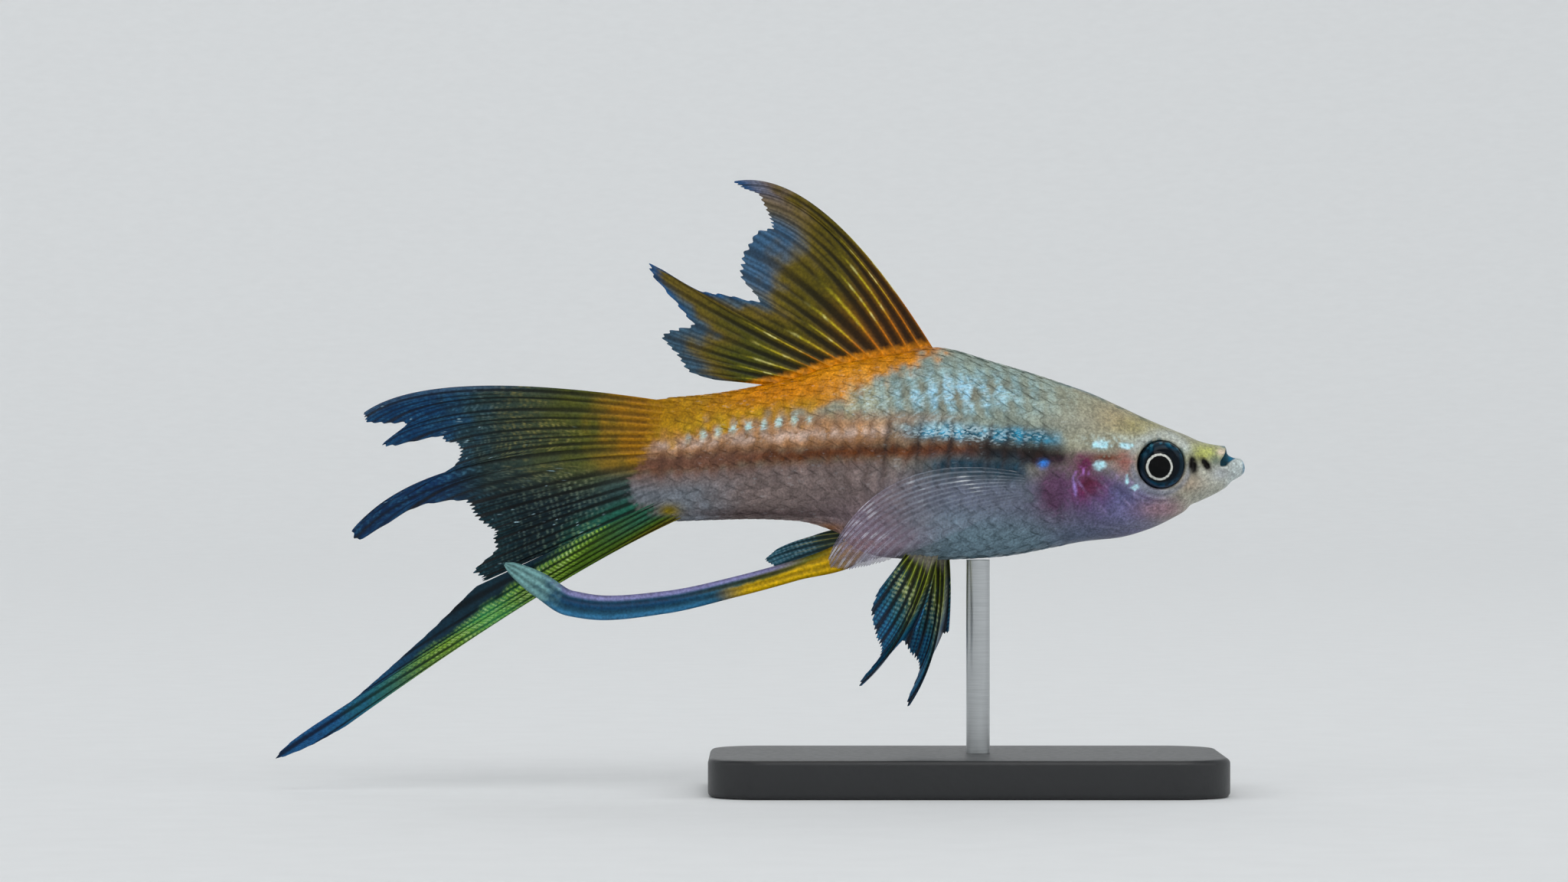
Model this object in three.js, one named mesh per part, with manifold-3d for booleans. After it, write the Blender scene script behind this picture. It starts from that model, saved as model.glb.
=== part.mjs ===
// A male swordtail of the long-finned kind, life size, held still on a plain display stand.
// He has a high dorsal fin, a lyre-shaped tail fin with its sword, and a very long gonopodium.
// Millimetres, +Z up. The snout points to +X and the fish's right side faces -Y.
// The origin is the middle of the stand's underside.
// Places on the fish are given as [back, height]: how far behind the tip of the lower jaw, and how far
// above the body's axis. A fin is read from its leading ray, at 0, to its last ray, at 1.

import * as THREE from "three";
import { mergeVertices } from "three/addons/utils/BufferGeometryUtils.js";
import Module from "manifold-3d";

const wasm = await Module();
wasm.setup();

// Driving dimensions
const STANDARD_LENGTH = 55;
const AXIS_HEIGHT = 31;
const JAW_TIP_X = 26;
const GAP = 0.3;
const MEMBRANE = 0.5;
const RAY_RIDGE = 0.17;
const MARGIN_THICKNESS = 0.3;

// Body stations: back, back line, belly line, half width, and how the section closes above and below its
// widest line, where under 1 is boxy, 1 is round and over 1 is keeled.
const BODY = [
  [0, -0.8, -0.85, 0.05, 0.9, 0.9],
  [0.12, -0.32, -1.3, 0.75, 0.9, 0.9],
  [0.6, 0.14, -1.75, 1.3, 0.85, 0.9],
  [1.86, 1.05, -2.7, 1.9, 0.75, 0.85],
  [3.3, 1.5, -3.6, 2.4, 0.75, 0.85],
  [6.1, 2.5, -5.15, 3.1, 0.8, 0.85],
  [9, 3.7, -6.55, 3.7, 0.85, 0.85],
  [11.9, 5.05, -7.35, 4.15, 0.9, 0.85],
  [14.7, 6.3, -7.65, 4.45, 1, 0.85],
  [17.6, 7.35, -8.25, 4.6, 1.05, 0.85],
  [23.3, 9.1, -9.2, 4.75, 1.15, 0.9],
  [29, 10.5, -9.45, 4.6, 1.2, 0.95],
  [33.3, 9.87, -9.25, 4.15, 1.15, 1],
  [36.2, 9.35, -8.5, 3.8, 1.1, 1.05],
  [38.4, 8.9, -6.75, 3.5, 1.05, 1.05],
  [42, 7.75, -5.8, 3, 1, 1],
  [46, 6.8, -5.65, 2.35, 1, 1],
  [50, 6.15, -5.75, 1.7, 1, 1],
  [STANDARD_LENGTH, 5.75, -6, 0.8, 1, 1],
];
const WIDEST_LINE = 0.52;
const BODY_RINGS = 40;
const BODY_SIDES = 24;

// The head
const GILL_SLIT = { centre: [5.9, -1.2], radius: 10.5 };
const STALK_CUT_BACK = 43.6;
const EYE = { at: [8.07, -0.5], radius: 2.2, depth: 1.45, out: 2.45, turned: 0.17 };
const CORNEA = { radius: 1.15, depth: 1.62 };
const NOSTRILS = [
  { at: [5.05, -0.5], across: 0.34, high: 0.6 },
  { at: [3.85, -0.42], across: 0.28, high: 0.4 },
];
const NOSTRIL_DEPTH = 0.5;
const LIP_RADIUS = 0.36;

// Fins. The root line lies inside the body, the margin is what shows. bow rows give, at a ray, how far along
// the ray its bend lies and how far the bend stands off, both as shares of the ray's length.
const DORSAL_FIN = {
  rays: 14,
  columns: 3,
  rows: 9,
  root: [
    [0, 28.4, 9.2],
    [0.5, 35.9, 8.5],
    [1, 42.6, 6.5],
  ],
  margin: [
    [0, 47.8, 25.9],
    [0.06, 46.9, 25.3],
    [0.14, 45.3, 24.6],
    [0.21, 44.4, 22.8],
    [0.27, 44.1, 21.6],
    [0.3, 45.4, 21.5],
    [0.37, 46.9, 19.3],
    [0.44, 47.2, 17.1],
    [0.5, 45.1, 14.6],
    [0.54, 48.5, 15.4],
    [0.58, 50.9, 15.7],
    [0.62, 55.6, 18.4],
    [0.66, 55.5, 17.3],
    [0.7, 53.2, 14.8],
    [0.75, 51.4, 12.4],
    [0.8, 54.5, 11.6],
    [0.87, 53.1, 9.6],
    [0.93, 51.9, 8.3],
    [1, 46.2, 7.4],
  ],
  bow: [
    [0, 0.8, 0.265],
    [0.25, 0.7, 0.14],
    [0.5, 0.6, 0.03],
    [0.62, 0.6, -0.04],
    [0.85, 0.6, -0.02],
    [1, 0.6, 0.02],
  ],
  aside: (ray, along) => 0.7 * along ** 2 * Math.sin(2.6 * Math.PI * ray),
};
const TAIL_FIN = {
  rays: 16,
  columns: 3,
  rows: 9,
  root: [
    [0, 53.2, 5.3],
    [0.5, 53.9, 0.9],
    [1, 53.4, -3.5],
  ],
  margin: [
    [0, 82.3, 4.3],
    [0.06, 82.1, 3.4],
    [0.13, 78, 3.3],
    [0.17, 80.4, 1.7],
    [0.21, 80.3, 1.2],
    [0.27, 75.1, 1.9],
    [0.34, 73.5, 1.2],
    [0.44, 73.6, -0.7],
    [0.49, 83.4, -6.5],
    [0.54, 82.9, -7.9],
    [0.59, 76.5, -4.3],
    [0.63, 72.6, -4],
    [0.72, 71.2, -5.8],
    [0.82, 70.1, -7.3],
    [0.88, 70, -8.5],
    [0.94, 72.4, -10.7],
    [1, 71.2, -11.4],
  ],
  bow: [
    [0, 0.72, 0.14],
    [0.2, 0.8, 0.15],
    [0.34, 0.7, 0.05],
    [0.44, 0.7, 0.1],
    [0.5, 0.72, 0.2],
    [0.56, 0.72, 0.18],
    [0.63, 0.6, 0.03],
    [1, 0.6, 0],
  ],
  aside: (ray, along) => 0.9 * along ** 2 * Math.sin(2.2 * Math.PI * ray + 0.6),
};
const SWORD = {
  rays: 5,
  columns: 4,
  rows: 12,
  root: [
    [0, 53.4, -4.15],
    [1, 52.6, -5.5],
  ],
  margin: [
    [0, 72.4, -12.8],
    [0.2, 76.4, -16.3],
    [0.4, 80.3, -20.1],
    [0.6, 85.4, -24.3],
    [0.8, 90.6, -28],
    [1, 84, -25],
  ],
  bow: [
    [0, 0.5, 0.04],
    [0.8, 0.4, 0.02],
    [1, 0.35, 0.07],
  ],
  aside: (ray, along) => 0.5 * along ** 2,
};
const PECTORAL_FIN = {
  rays: 11,
  columns: 2,
  rows: 9,
  root: [
    [0, 19.3, -1.6],
    [1, 19.9, -3.9],
  ],
  margin: [
    [0, 38.5, -8],
    [0.12, 39, -9.2],
    [0.3, 38.8, -10],
    [0.5, 37.2, -10.2],
    [0.7, 34.4, -9.6],
    [0.85, 30.8, -8.4],
    [1, 26.6, -6.6],
  ],
  bow: [
    [0, 0.6, 0.38],
    [0.5, 0.6, 0.26],
    [1, 0.6, 0.1],
  ],
  flank: 3.9,
  flare: 3.4,
};
const PELVIC_FIN = {
  rays: 6,
  columns: 3,
  rows: 8,
  root: [
    [0, 28.6, -8.6],
    [1, 31.4, -8.5],
  ],
  margin: [
    [0, 30.7, -15.9],
    [0.08, 31.3, -15.6],
    [0.16, 36, -21.3],
    [0.24, 36.2, -20.7],
    [0.34, 34.2, -18.4],
    [0.6, 34.5, -16.5],
    [0.8, 35, -14.1],
    [1, 32.9, -10.6],
  ],
  bow: [
    [0, 0.5, -0.05],
    [0.2, 0.62, -0.18],
    [1, 0.5, 0.05],
  ],
  from_midline: 0.9,
  splay: 3.4,
};
// The left pelvic fin is swung forward of the right one, about the middle of its root, and held longer.
const PELVIC_POSE = {
  right: { swing: 0, shift: 0, stretch: 1 },
  left: { swing: -0.3, shift: -0.9, stretch: 1.08 },
};

// The gonopodium, the anal fin of a male: a flattened rod of three rays with a hooked tip.
// Rows give its line, its height across and how far it swings to the fish's right.
const GONOPODIUM = [
  [0, 36, -7.3, 2.8, 0],
  [0.05, 37.3, -8.9, 2.6, 0],
  [0.17, 42, -10.4, 1.9, 0.3],
  [0.35, 47.6, -11.9, 1.9, 0.9],
  [0.55, 54, -13.3, 2.1, 1.6],
  [0.72, 59.5, -13.8, 2.3, 2.2],
  [0.83, 62.9, -13.35, 2.4, 2.5],
  [0.92, 65.6, -11.7, 2.4, 2.7],
  [1, 68.9, -9.7, 0.5, 2.9],
];
const GONOPODIUM_STEPS = 20;
const GONOPODIUM_SIDES = 10;
const GONOPODIUM_THICKNESS = 1.1;
const ANAL_RAYS = {
  rays: 5,
  columns: 2,
  rows: 5,
  root: [
    [0, 38, -6.5],
    [1, 36.9, -8],
  ],
  margin: [
    [0, 41.6, -7.9],
    [0.25, 43.6, -8.3],
    [0.6, 44.9, -9.4],
    [1, 43.4, -10.3],
  ],
  bow: [
    [0, 0.6, 0.12],
    [1, 0.6, 0.04],
  ],
  aside: () => 0,
};

// The stand
const STAND_BASE = { long: 48, wide: 25, high: 3.6, corner: 5, chamfer: 0.5 };
const STAND_ROD = { back: 24.9, radius: 1.1, sides: 20 };

// A table's row at any position, on straight lines between its rows.
function along(rows, at) {
  let next = 1;
  while (next < rows.length - 1 && rows[next][0] < at) next += 1;
  const [before, after] = [rows[next - 1], rows[next]];
  const share = THREE.MathUtils.clamp((at - before[0]) / (after[0] - before[0]), 0, 1);
  return before.slice(1).map((value, k) => value + share * (after[k + 1] - value));
}

// The same on smooth curves that never overshoot a row: cubic pieces, level where the column turns back.
function smoothly(rows, at) {
  let next = 1;
  while (next < rows.length - 1 && rows[next][0] < at) next += 1;
  const step = rows[next][0] - rows[next - 1][0];
  const share = THREE.MathUtils.clamp((at - rows[next - 1][0]) / step, 0, 1);
  const rise = (row, k) => {
    if (row < 1 || row >= rows.length) return null;
    return (rows[row][k] - rows[row - 1][k]) / (rows[row][0] - rows[row - 1][0]);
  };
  const slope = (row, k) => {
    const [left, right] = [rise(row, k), rise(row + 1, k)];
    if (left === null || right === null) return left ?? right;
    return left * right <= 0 ? 0 : (2 * left * right) / (left + right);
  };
  return rows[next].slice(1).map((_, column) => {
    const k = column + 1;
    const [from, to] = [rows[next - 1][k], rows[next][k]];
    const [leave, arrive] = [slope(next - 1, k) * step, slope(next, k) * step];
    const bend = 3 * (to - from) - 2 * leave - arrive;
    const twist = leave + arrive - 2 * (to - from);
    return from + share * (leave + share * (bend + share * twist));
  });
}

// The part's own point for a place on the fish, and how far it stands to the fish's left.
function place([back, height], left = 0) {
  return new THREE.Vector3(JAW_TIP_X - back, left, AXIS_HEIGHT + height);
}

// A geometry as a solid: shared points are merged, and triangles that this empties are dropped.
function solidOf(geometry) {
  const bare = new THREE.BufferGeometry();
  bare.setAttribute("position", geometry.getAttribute("position"));
  bare.setIndex(geometry.index);
  const merged = mergeVertices(bare, 1e-4);
  const index = merged.index.array;
  const kept = [];
  for (let k = 0; k < index.length; k += 3) {
    const [a, b, c] = [index[k], index[k + 1], index[k + 2]];
    if (a !== b && b !== c && c !== a) kept.push(a, b, c);
  }
  const build = (corners) =>
    new wasm.Manifold(
      new wasm.Mesh({
        numProp: 3,
        vertProperties: new Float32Array(merged.attributes.position.array),
        triVerts: new Uint32Array(corners),
      }),
    );
  const solid = build(kept);
  return solid.volume() > 0 ? solid : build(kept.reverse());
}

function geometryOf(solid) {
  const mesh = solid.getMesh();
  const points = new Float32Array(mesh.numVert * 3);
  for (let k = 0; k < mesh.numVert; k += 1) {
    points.set(mesh.vertProperties.subarray(k * mesh.numProp, k * mesh.numProp + 3), k * 3);
  }
  const geometry = new THREE.BufferGeometry();
  geometry.setAttribute("position", new THREE.BufferAttribute(points, 3));
  geometry.setIndex(new THREE.BufferAttribute(new Uint32Array(mesh.triVerts), 1));
  geometry.computeVertexNormals();
  return geometry;
}

// The largest closed surface of a solid, which drops loose scraps and sealed hollows.
function largest(solid) {
  const pieces = solid.decompose().sort((a, b) => b.volume() - a.volume());
  return pieces[0];
}

// A closed tube of rings, each a loop of points, with flat fans over both ends.
function loft(rings) {
  const sides = rings[0].length;
  const points = rings.flat();
  const corners = [];
  for (let ring = 0; ring + 1 < rings.length; ring += 1) {
    for (let k = 0; k < sides; k += 1) {
      const [a, b] = [ring * sides + k, ring * sides + ((k + 1) % sides)];
      corners.push(a, b, b + sides, a, b + sides, a + sides);
    }
  }
  [0, rings.length - 1].forEach((ring) => {
    const middle = points.length;
    points.push(rings[ring].reduce((sum, p) => sum.add(p), new THREE.Vector3()).divideScalar(sides));
    for (let k = 0; k < sides; k += 1) {
      const [a, b] = [ring * sides + k, ring * sides + ((k + 1) % sides)];
      corners.push(...(ring ? [a, b, middle] : [b, a, middle]));
    }
  });
  return solidOf(new THREE.BufferGeometry().setFromPoints(points).setIndex(corners));
}

// A flat piece that reaches across the fish, cut to an outline in its side view.
function crossPlate(outline, half_width) {
  const shape = new THREE.Shape(outline.map(([back, height]) => new THREE.Vector2(-back, height)));
  const geometry = new THREE.ExtrudeGeometry(shape, { depth: 2 * half_width, bevelEnabled: false });
  geometry.rotateX(Math.PI / 2);
  geometry.translate(JAW_TIP_X, half_width, AXIS_HEIGHT);
  return solidOf(geometry);
}

// The body

function bodySolid(grow) {
  const stretch = 1 + (2 * grow) / STANDARD_LENGTH;
  const rings = [];
  for (let ring = 0; ring <= BODY_RINGS; ring += 1) {
    const back = STANDARD_LENGTH * (ring / BODY_RINGS) ** 1.6;
    const [top, bottom, half, crown, keel] = smoothly(BODY, back);
    const middle = bottom + WIDEST_LINE * (top - bottom);
    const loop = [];
    for (let side = 0; side < BODY_SIDES; side += 1) {
      const turn = (2 * Math.PI * side) / BODY_SIDES;
      const [up, out] = [Math.cos(turn), Math.sin(turn)];
      const reach = up > 0 ? top + grow - middle : middle - bottom + grow;
      const closing = Math.abs(out) ** (up > 0 ? crown : keel);
      const left = (half + grow) * Math.sign(out) * closing;
      loop.push(place([back * stretch - grow, middle + reach * up], left));
    }
    rings.push(loop);
  }
  return loft(rings);
}

// The mouth opens upwards: the front of the jaw stands clear of the upper lip, and the slit runs back to
// the corner of the mouth.
function mouthCutter() {
  const outline = [
    [-1, 4],
    [1.5, 4],
    [1.72, 1.1],
    [1.95, 0.35],
    [3.5, -0.95],
    [2.1, -0.6],
    [1.5, -0.18],
    [1, 0.02],
    [0.5, 0.14],
    [-1, 0.3],
  ];
  return crossPlate(outline, 6);
}

// A rolled lip along the rim of a jaw, from one corner of the mouth to the other.
function lip(corner, side, front, radius) {
  const path = new THREE.CatmullRomCurve3([
    place(corner.at, -corner.left),
    place(side.at, -side.left),
    place(front, 0),
    place(side.at, side.left),
    place(corner.at, corner.left),
  ]);
  const section = new THREE.Shape().absarc(0, 0, radius, 0, 2 * Math.PI);
  const settings = { extrudePath: path, steps: 12, curveSegments: 3, bevelEnabled: false };
  return solidOf(new THREE.ExtrudeGeometry(section, settings));
}

function eyeball(side, grow) {
  const ball = (radius, depth, sides) => {
    const geometry = new THREE.SphereGeometry(1, sides, sides / 2 + 2);
    geometry.rotateX(Math.PI / 2);
    geometry.scale(radius + grow, depth + grow, radius + grow);
    geometry.rotateZ(side * -EYE.turned);
    const centre = place(EYE.at, side * EYE.out);
    geometry.translate(centre.x, centre.y, centre.z);
    return solidOf(geometry);
  };
  return ball(EYE.radius, EYE.depth, 16).add(ball(CORNEA.radius, CORNEA.depth, 12));
}

function nostril(side, { at, across, high }, outside) {
  const pit = new THREE.SphereGeometry(1, 8, 6);
  pit.scale(across, NOSTRIL_DEPTH, high);
  const centre = place(at, side * outside);
  pit.translate(centre.x, centre.y, centre.z);
  return solidOf(pit);
}

// A gap that follows the hind edge of the gill covers, as wide as touching pieces keep.
function gillSlit() {
  const [back, height] = GILL_SLIT.centre;
  const outline = [];
  const steps = 10;
  const half_turn = 0.47 * Math.PI;
  [GILL_SLIT.radius, GILL_SLIT.radius + GAP].forEach((radius, pass) => {
    for (let k = 0; k <= steps; k += 1) {
      const turn = half_turn * (pass ? 1 - (2 * k) / steps : (2 * k) / steps - 1);
      outline.push([back + radius * Math.cos(turn), height + radius * Math.sin(turn)]);
    }
  });
  return crossPlate(outline, 8);
}

function stalkCut() {
  const [front, rear] = [STALK_CUT_BACK, STALK_CUT_BACK + GAP];
  return crossPlate([[front, -14], [rear, -14], [rear, 14], [front, 14]], 8);
}

// Fins

function rayPoint(fin, ray, share) {
  const root = new THREE.Vector2(...along(fin.root, ray));
  const tip = new THREE.Vector2(...along(fin.margin, ray));
  const [reach, bow] = along(fin.bow, ray);
  const chord = tip.clone().sub(root);
  const bend = root
    .clone()
    .addScaledVector(chord, reach)
    .add(new THREE.Vector2(-chord.y, chord.x).multiplyScalar(bow));
  const [a, b, c] = [(1 - share) ** 2, 2 * share * (1 - share), share ** 2];
  return [a * root.x + b * bend.x + c * tip.x, a * root.y + b * bend.y + c * tip.y];
}

// A fin is a sheet with two faces split into triangles alike. Each ray is a ridge on both of them, and the
// sheet thins towards its margin.
function finSolid(fin) {
  const columns = (fin.rays - 1) * fin.columns;
  const points = [];
  for (let column = 0; column <= columns; column += 1) {
    const ray = column / columns;
    const ridge = column % fin.columns ? 0 : RAY_RIDGE;
    for (let row = 0; row <= fin.rows; row += 1) {
      const share = row / fin.rows;
      const spot = rayPoint(fin, ray, share);
      const aside = fin.aside(ray, share);
      const thin = THREE.MathUtils.smoothstep(share, 0.75, 1);
      const half = THREE.MathUtils.lerp(MEMBRANE / 2 + ridge, MARGIN_THICKNESS / 2, thin);
      points.push(place(spot, aside + half), place(spot, aside - half));
    }
  }
  const corner = (column, row, face) => 2 * (column * (fin.rows + 1) + row) + face;
  const corners = [];
  const rim = (c0, r0, c1, r1) => {
    const [a, b] = [corner(c0, r0, 0), corner(c1, r1, 0)];
    corners.push(a, b, b + 1, a, b + 1, a + 1);
  };
  for (let c = 0; c < columns; c += 1) {
    for (let r = 0; r < fin.rows; r += 1) {
      const quad = [corner(c, r, 0), corner(c + 1, r, 0), corner(c + 1, r + 1, 0), corner(c, r + 1, 0)];
      const [p, q, s, t] = quad;
      corners.push(p, s, q, p, t, s);
      corners.push(p + 1, q + 1, s + 1, p + 1, s + 1, t + 1);
    }
    rim(c, 0, c + 1, 0);
    rim(c + 1, fin.rows, c, fin.rows);
  }
  for (let r = 0; r < fin.rows; r += 1) {
    rim(0, r + 1, 0, r);
    rim(columns, r, columns, r + 1);
  }
  return solidOf(new THREE.BufferGeometry().setFromPoints(points).setIndex(corners));
}

// A pectoral fin leaves the flank at a slant and stands off it towards its tip.
function pectoralFin(side) {
  const { flank, flare } = PECTORAL_FIN;
  const aside = (ray, share) => {
    const bulge = 0.5 * Math.sin(Math.PI * ray) * share;
    return side * (flank + flare * share ** 0.7 + bulge);
  };
  return finSolid({ ...PECTORAL_FIN, aside });
}

// A pelvic fin hangs from the belly beside the midline and splays outwards.
function pelvicFin(side) {
  const { swing, shift, stretch } = PELVIC_POSE[side < 0 ? "right" : "left"];
  const middle = along(PELVIC_FIN.root, 0.5);
  const [cos, sin] = [stretch * Math.cos(swing), stretch * Math.sin(swing)];
  const posed = (rows) =>
    rows.map(([ray, back, height]) => {
      const [b, h] = [back - middle[0], height - middle[1]];
      return [ray, middle[0] + shift + cos * b - sin * h, middle[1] + sin * b + cos * h];
    });
  const { from_midline, splay } = PELVIC_FIN;
  const aside = (ray, share) => side * (from_midline + splay * share * (1 - 0.5 * ray) + 0.5 * share ** 2);
  return finSolid({ ...PELVIC_FIN, root: posed(PELVIC_FIN.root), margin: posed(PELVIC_FIN.margin), aside });
}

// The rod of the gonopodium, with a groove between its rays on each side, joined to the short hind rays.
function gonopodium() {
  const rings = [];
  for (let step = 0; step <= GONOPODIUM_STEPS; step += 1) {
    const share = step / GONOPODIUM_STEPS;
    const [back, height, across, right] = smoothly(GONOPODIUM, share);
    const before = smoothly(GONOPODIUM, Math.max(share - 0.02, 0));
    const after = smoothly(GONOPODIUM, Math.min(share + 0.02, 1));
    const heading = Math.atan2(after[1] - before[1], after[0] - before[0]);
    const loop = [];
    for (let side = 0; side < GONOPODIUM_SIDES; side += 1) {
      const turn = (2 * Math.PI * (side + 0.5)) / GONOPODIUM_SIDES;
      const up = 0.5 * across * Math.cos(turn);
      const ridge = 0.72 + 0.28 * Math.cos(4 * turn);
      const thick = Math.min(GONOPODIUM_THICKNESS, across) / 2;
      const spot = [back - up * Math.sin(heading), height + up * Math.cos(heading)];
      loop.push(place(spot, -right + thick * ridge * Math.sin(turn)));
    }
    rings.push(loop);
  }
  return loft(rings).add(finSolid(ANAL_RAYS));
}

// The stand

function standBase() {
  const { long, wide, high, corner, chamfer } = STAND_BASE;
  const [x, y] = [long / 2 - corner, wide / 2 - corner];
  const outline = new THREE.Shape();
  const radius = corner - chamfer;
  outline.absarc(x, y, radius, 0, Math.PI / 2);
  outline.absarc(-x, y, radius, Math.PI / 2, Math.PI);
  outline.absarc(-x, -y, radius, Math.PI, 1.5 * Math.PI);
  outline.absarc(x, -y, radius, 1.5 * Math.PI, 2 * Math.PI);
  const geometry = new THREE.ExtrudeGeometry(outline, {
    depth: high - 2 * chamfer,
    bevelThickness: chamfer,
    bevelSize: chamfer,
    bevelSegments: 1,
    curveSegments: 4,
  });
  geometry.translate(0, 0, chamfer);
  return solidOf(geometry);
}

// The rod reaches into the belly and is cut to fit it.
function standRod() {
  const { back, radius, sides } = STAND_ROD;
  const foot = STAND_BASE.high + GAP;
  const top = AXIS_HEIGHT - 5;
  const geometry = new THREE.CylinderGeometry(radius, radius, top - foot, sides);
  geometry.rotateX(Math.PI / 2);
  geometry.translate(JAW_TIP_X - back, 0, (top + foot) / 2);
  return solidOf(geometry);
}

// Assembly

const grown_body = bodySolid(GAP * 1.1);
const grown_from = (solid) => largest(solid.subtract(grown_body));

let flesh = bodySolid(0).subtract(mouthCutter());
flesh = flesh.add(
  lip({ at: [3.3, -0.62], left: 2.1 }, { at: [2.35, 0.25], left: 1.35 }, [1.95, 0.72], LIP_RADIUS),
);
flesh = flesh.add(
  lip({ at: [3.2, -1.2], left: 2.1 }, { at: [1.4, -0.62], left: 1.35 }, [0.62, -0.3], LIP_RADIUS * 1.15),
);
[-1, 1].forEach((side) => {
  flesh = flesh.subtract(eyeball(side, GAP));
  NOSTRILS.forEach((pit) => {
    const half = smoothly(BODY, pit.at[0])[2];
    flesh = flesh.subtract(nostril(side, pit, half));
  });
});
flesh = flesh.subtract(gillSlit()).subtract(stalkCut());
const [tail_stalk, torso, head] = flesh
  .decompose()
  .sort((a, b) => b.volume() - a.volume())
  .slice(0, 3)
  .sort((a, b) => a.boundingBox().min[0] - b.boundingBox().min[0]);

const SKIN = new THREE.MeshStandardMaterial({ color: 0x9aa4a0, roughness: 0.45, metalness: 0 });
const FIN = new THREE.MeshStandardMaterial({ color: 0x5a5a1c, roughness: 0.5, metalness: 0 });
const TAIL = new THREE.MeshStandardMaterial({ color: 0x0b3550, roughness: 0.5, metalness: 0 });
const SWORD_GREEN = new THREE.MeshStandardMaterial({ color: 0x406222, roughness: 0.45, metalness: 0 });
const PALE_FIN = new THREE.MeshStandardMaterial({ color: 0x7c7c91, roughness: 0.5, metalness: 0 });
const EYE_DARK = new THREE.MeshStandardMaterial({ color: 0x050f18, roughness: 0.1, metalness: 0 });
const BASE_BLACK = new THREE.MeshStandardMaterial({ color: 0x1b1c1e, roughness: 0.5, metalness: 0 });
const ROD_STEEL = new THREE.MeshStandardMaterial({ color: 0xb4b7ba, roughness: 0.3, metalness: 1 });

const swordtail = new THREE.Group();
function addNode(name, solid, material) {
  const mesh = new THREE.Mesh(geometryOf(solid), material);
  mesh.name = name;
  swordtail.add(mesh);
}

addNode("head", head, SKIN);
addNode("torso", torso, SKIN);
addNode("tail_stalk", tail_stalk, SKIN);
addNode("dorsal_fin", grown_from(finSolid(DORSAL_FIN)), FIN);
addNode("tail_fin", grown_from(finSolid(TAIL_FIN)), TAIL);
addNode("tail_sword", grown_from(finSolid(SWORD)), SWORD_GREEN);
addNode("gonopodium", grown_from(gonopodium()), FIN);
[-1, 1].forEach((side) => {
  const name = side < 0 ? "right" : "left";
  addNode("eye_" + name, eyeball(side, 0), EYE_DARK);
  addNode("pectoral_fin_" + name, grown_from(pectoralFin(side)), PALE_FIN);
  addNode("pelvic_fin_" + name, grown_from(pelvicFin(side)), TAIL);
});
addNode("stand_base", standBase(), BASE_BLACK);
addNode("stand_rod", grown_from(standRod()), ROD_STEEL);

export default swordtail;
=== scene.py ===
import bpy
import numpy as np
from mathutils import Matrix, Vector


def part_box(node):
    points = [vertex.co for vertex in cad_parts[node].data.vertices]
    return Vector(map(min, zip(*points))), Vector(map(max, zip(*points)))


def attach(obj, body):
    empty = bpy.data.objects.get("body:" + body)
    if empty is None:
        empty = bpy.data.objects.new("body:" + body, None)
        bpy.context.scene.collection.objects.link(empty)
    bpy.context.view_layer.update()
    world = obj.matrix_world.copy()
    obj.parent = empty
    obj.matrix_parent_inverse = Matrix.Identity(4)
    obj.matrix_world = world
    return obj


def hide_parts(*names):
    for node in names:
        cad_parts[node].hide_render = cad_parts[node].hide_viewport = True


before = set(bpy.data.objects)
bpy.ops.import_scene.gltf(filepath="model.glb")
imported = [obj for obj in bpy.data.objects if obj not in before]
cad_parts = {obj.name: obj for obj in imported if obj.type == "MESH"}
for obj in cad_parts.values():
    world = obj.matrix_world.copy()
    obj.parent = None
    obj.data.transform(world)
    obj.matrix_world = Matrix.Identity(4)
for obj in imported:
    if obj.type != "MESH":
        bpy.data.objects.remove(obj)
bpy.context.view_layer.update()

# Places on the fish
# A place is how far it lies behind the tip of the lower jaw, how far above the body's axis, and how far
# to the fish's left. The jaw tip and the eye, which lies half a millimetre under the axis, fix both.
MM = 0.001
EYE_BELOW_AXIS = 0.5
jaw_tip_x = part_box("head")[1][0] / MM
eye_low, eye_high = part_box("eye_right")
axis_height = (eye_low[2] + eye_high[2]) / 2 / MM + EYE_BELOW_AXIS


def place(back, height, left):
    """Points in metres, from millimetres behind the jaw tip, above the axis and to the left."""
    x, y, z = np.broadcast_arrays(jaw_tip_x - back, left, axis_height + height)
    return np.stack([x, y, z], axis=-1) * MM


# Camera
# A long lens half a metre from the fish's right side, level with its axis, framed as the photograph.
FIELD_WIDTH = 146.3
CAMERA_AWAY = 500
SENSOR_WIDTH = 36

camera_data = bpy.data.cameras.new("photo_camera")
camera_data.sensor_width = SENSOR_WIDTH
camera_data.lens = SENSOR_WIDTH * CAMERA_AWAY / FIELD_WIDTH
camera_data.clip_start = 0.01
camera = bpy.data.objects.new("photo_camera", camera_data)
camera.location = place(43, 1.7, -CAMERA_AWAY)
camera.rotation_euler = (np.pi / 2, 0, 0)
bpy.context.scene.collection.objects.link(camera)
bpy.context.scene.camera = camera

# Studio
# One sheet of pale paper, flat under the stand and swept up all round far from it, so that no edge shows.
# Soft boxes light it: a large one above and before the fish, and weaker ones at both sides and behind.
PAPER_FLAT = 950
PAPER_SWEEP = 1400
PAPER_HEIGHT = 2600
PAPER_SIDES = 96


def linear(code):
    """An sRGB hex colour as linear red, green and blue."""
    value = np.array([int(code[k : k + 2], 16) for k in (1, 3, 5)]) / 255
    return np.where(value <= 0.04045, value / 12.92, ((value + 0.055) / 1.055) ** 2.4)


def add_node(tree, kind, settings=(), links=()):
    """One shader node with its settings, as (socket or property, value), and its links into sockets."""
    node = tree.nodes.new(kind)
    for key, value in settings:
        if isinstance(key, int) or key in node.inputs:
            node.inputs[key].default_value = value
        else:
            setattr(node, key, value)
    for key, source in links:
        tree.links.new(source, node.inputs[key])
    return node


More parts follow.
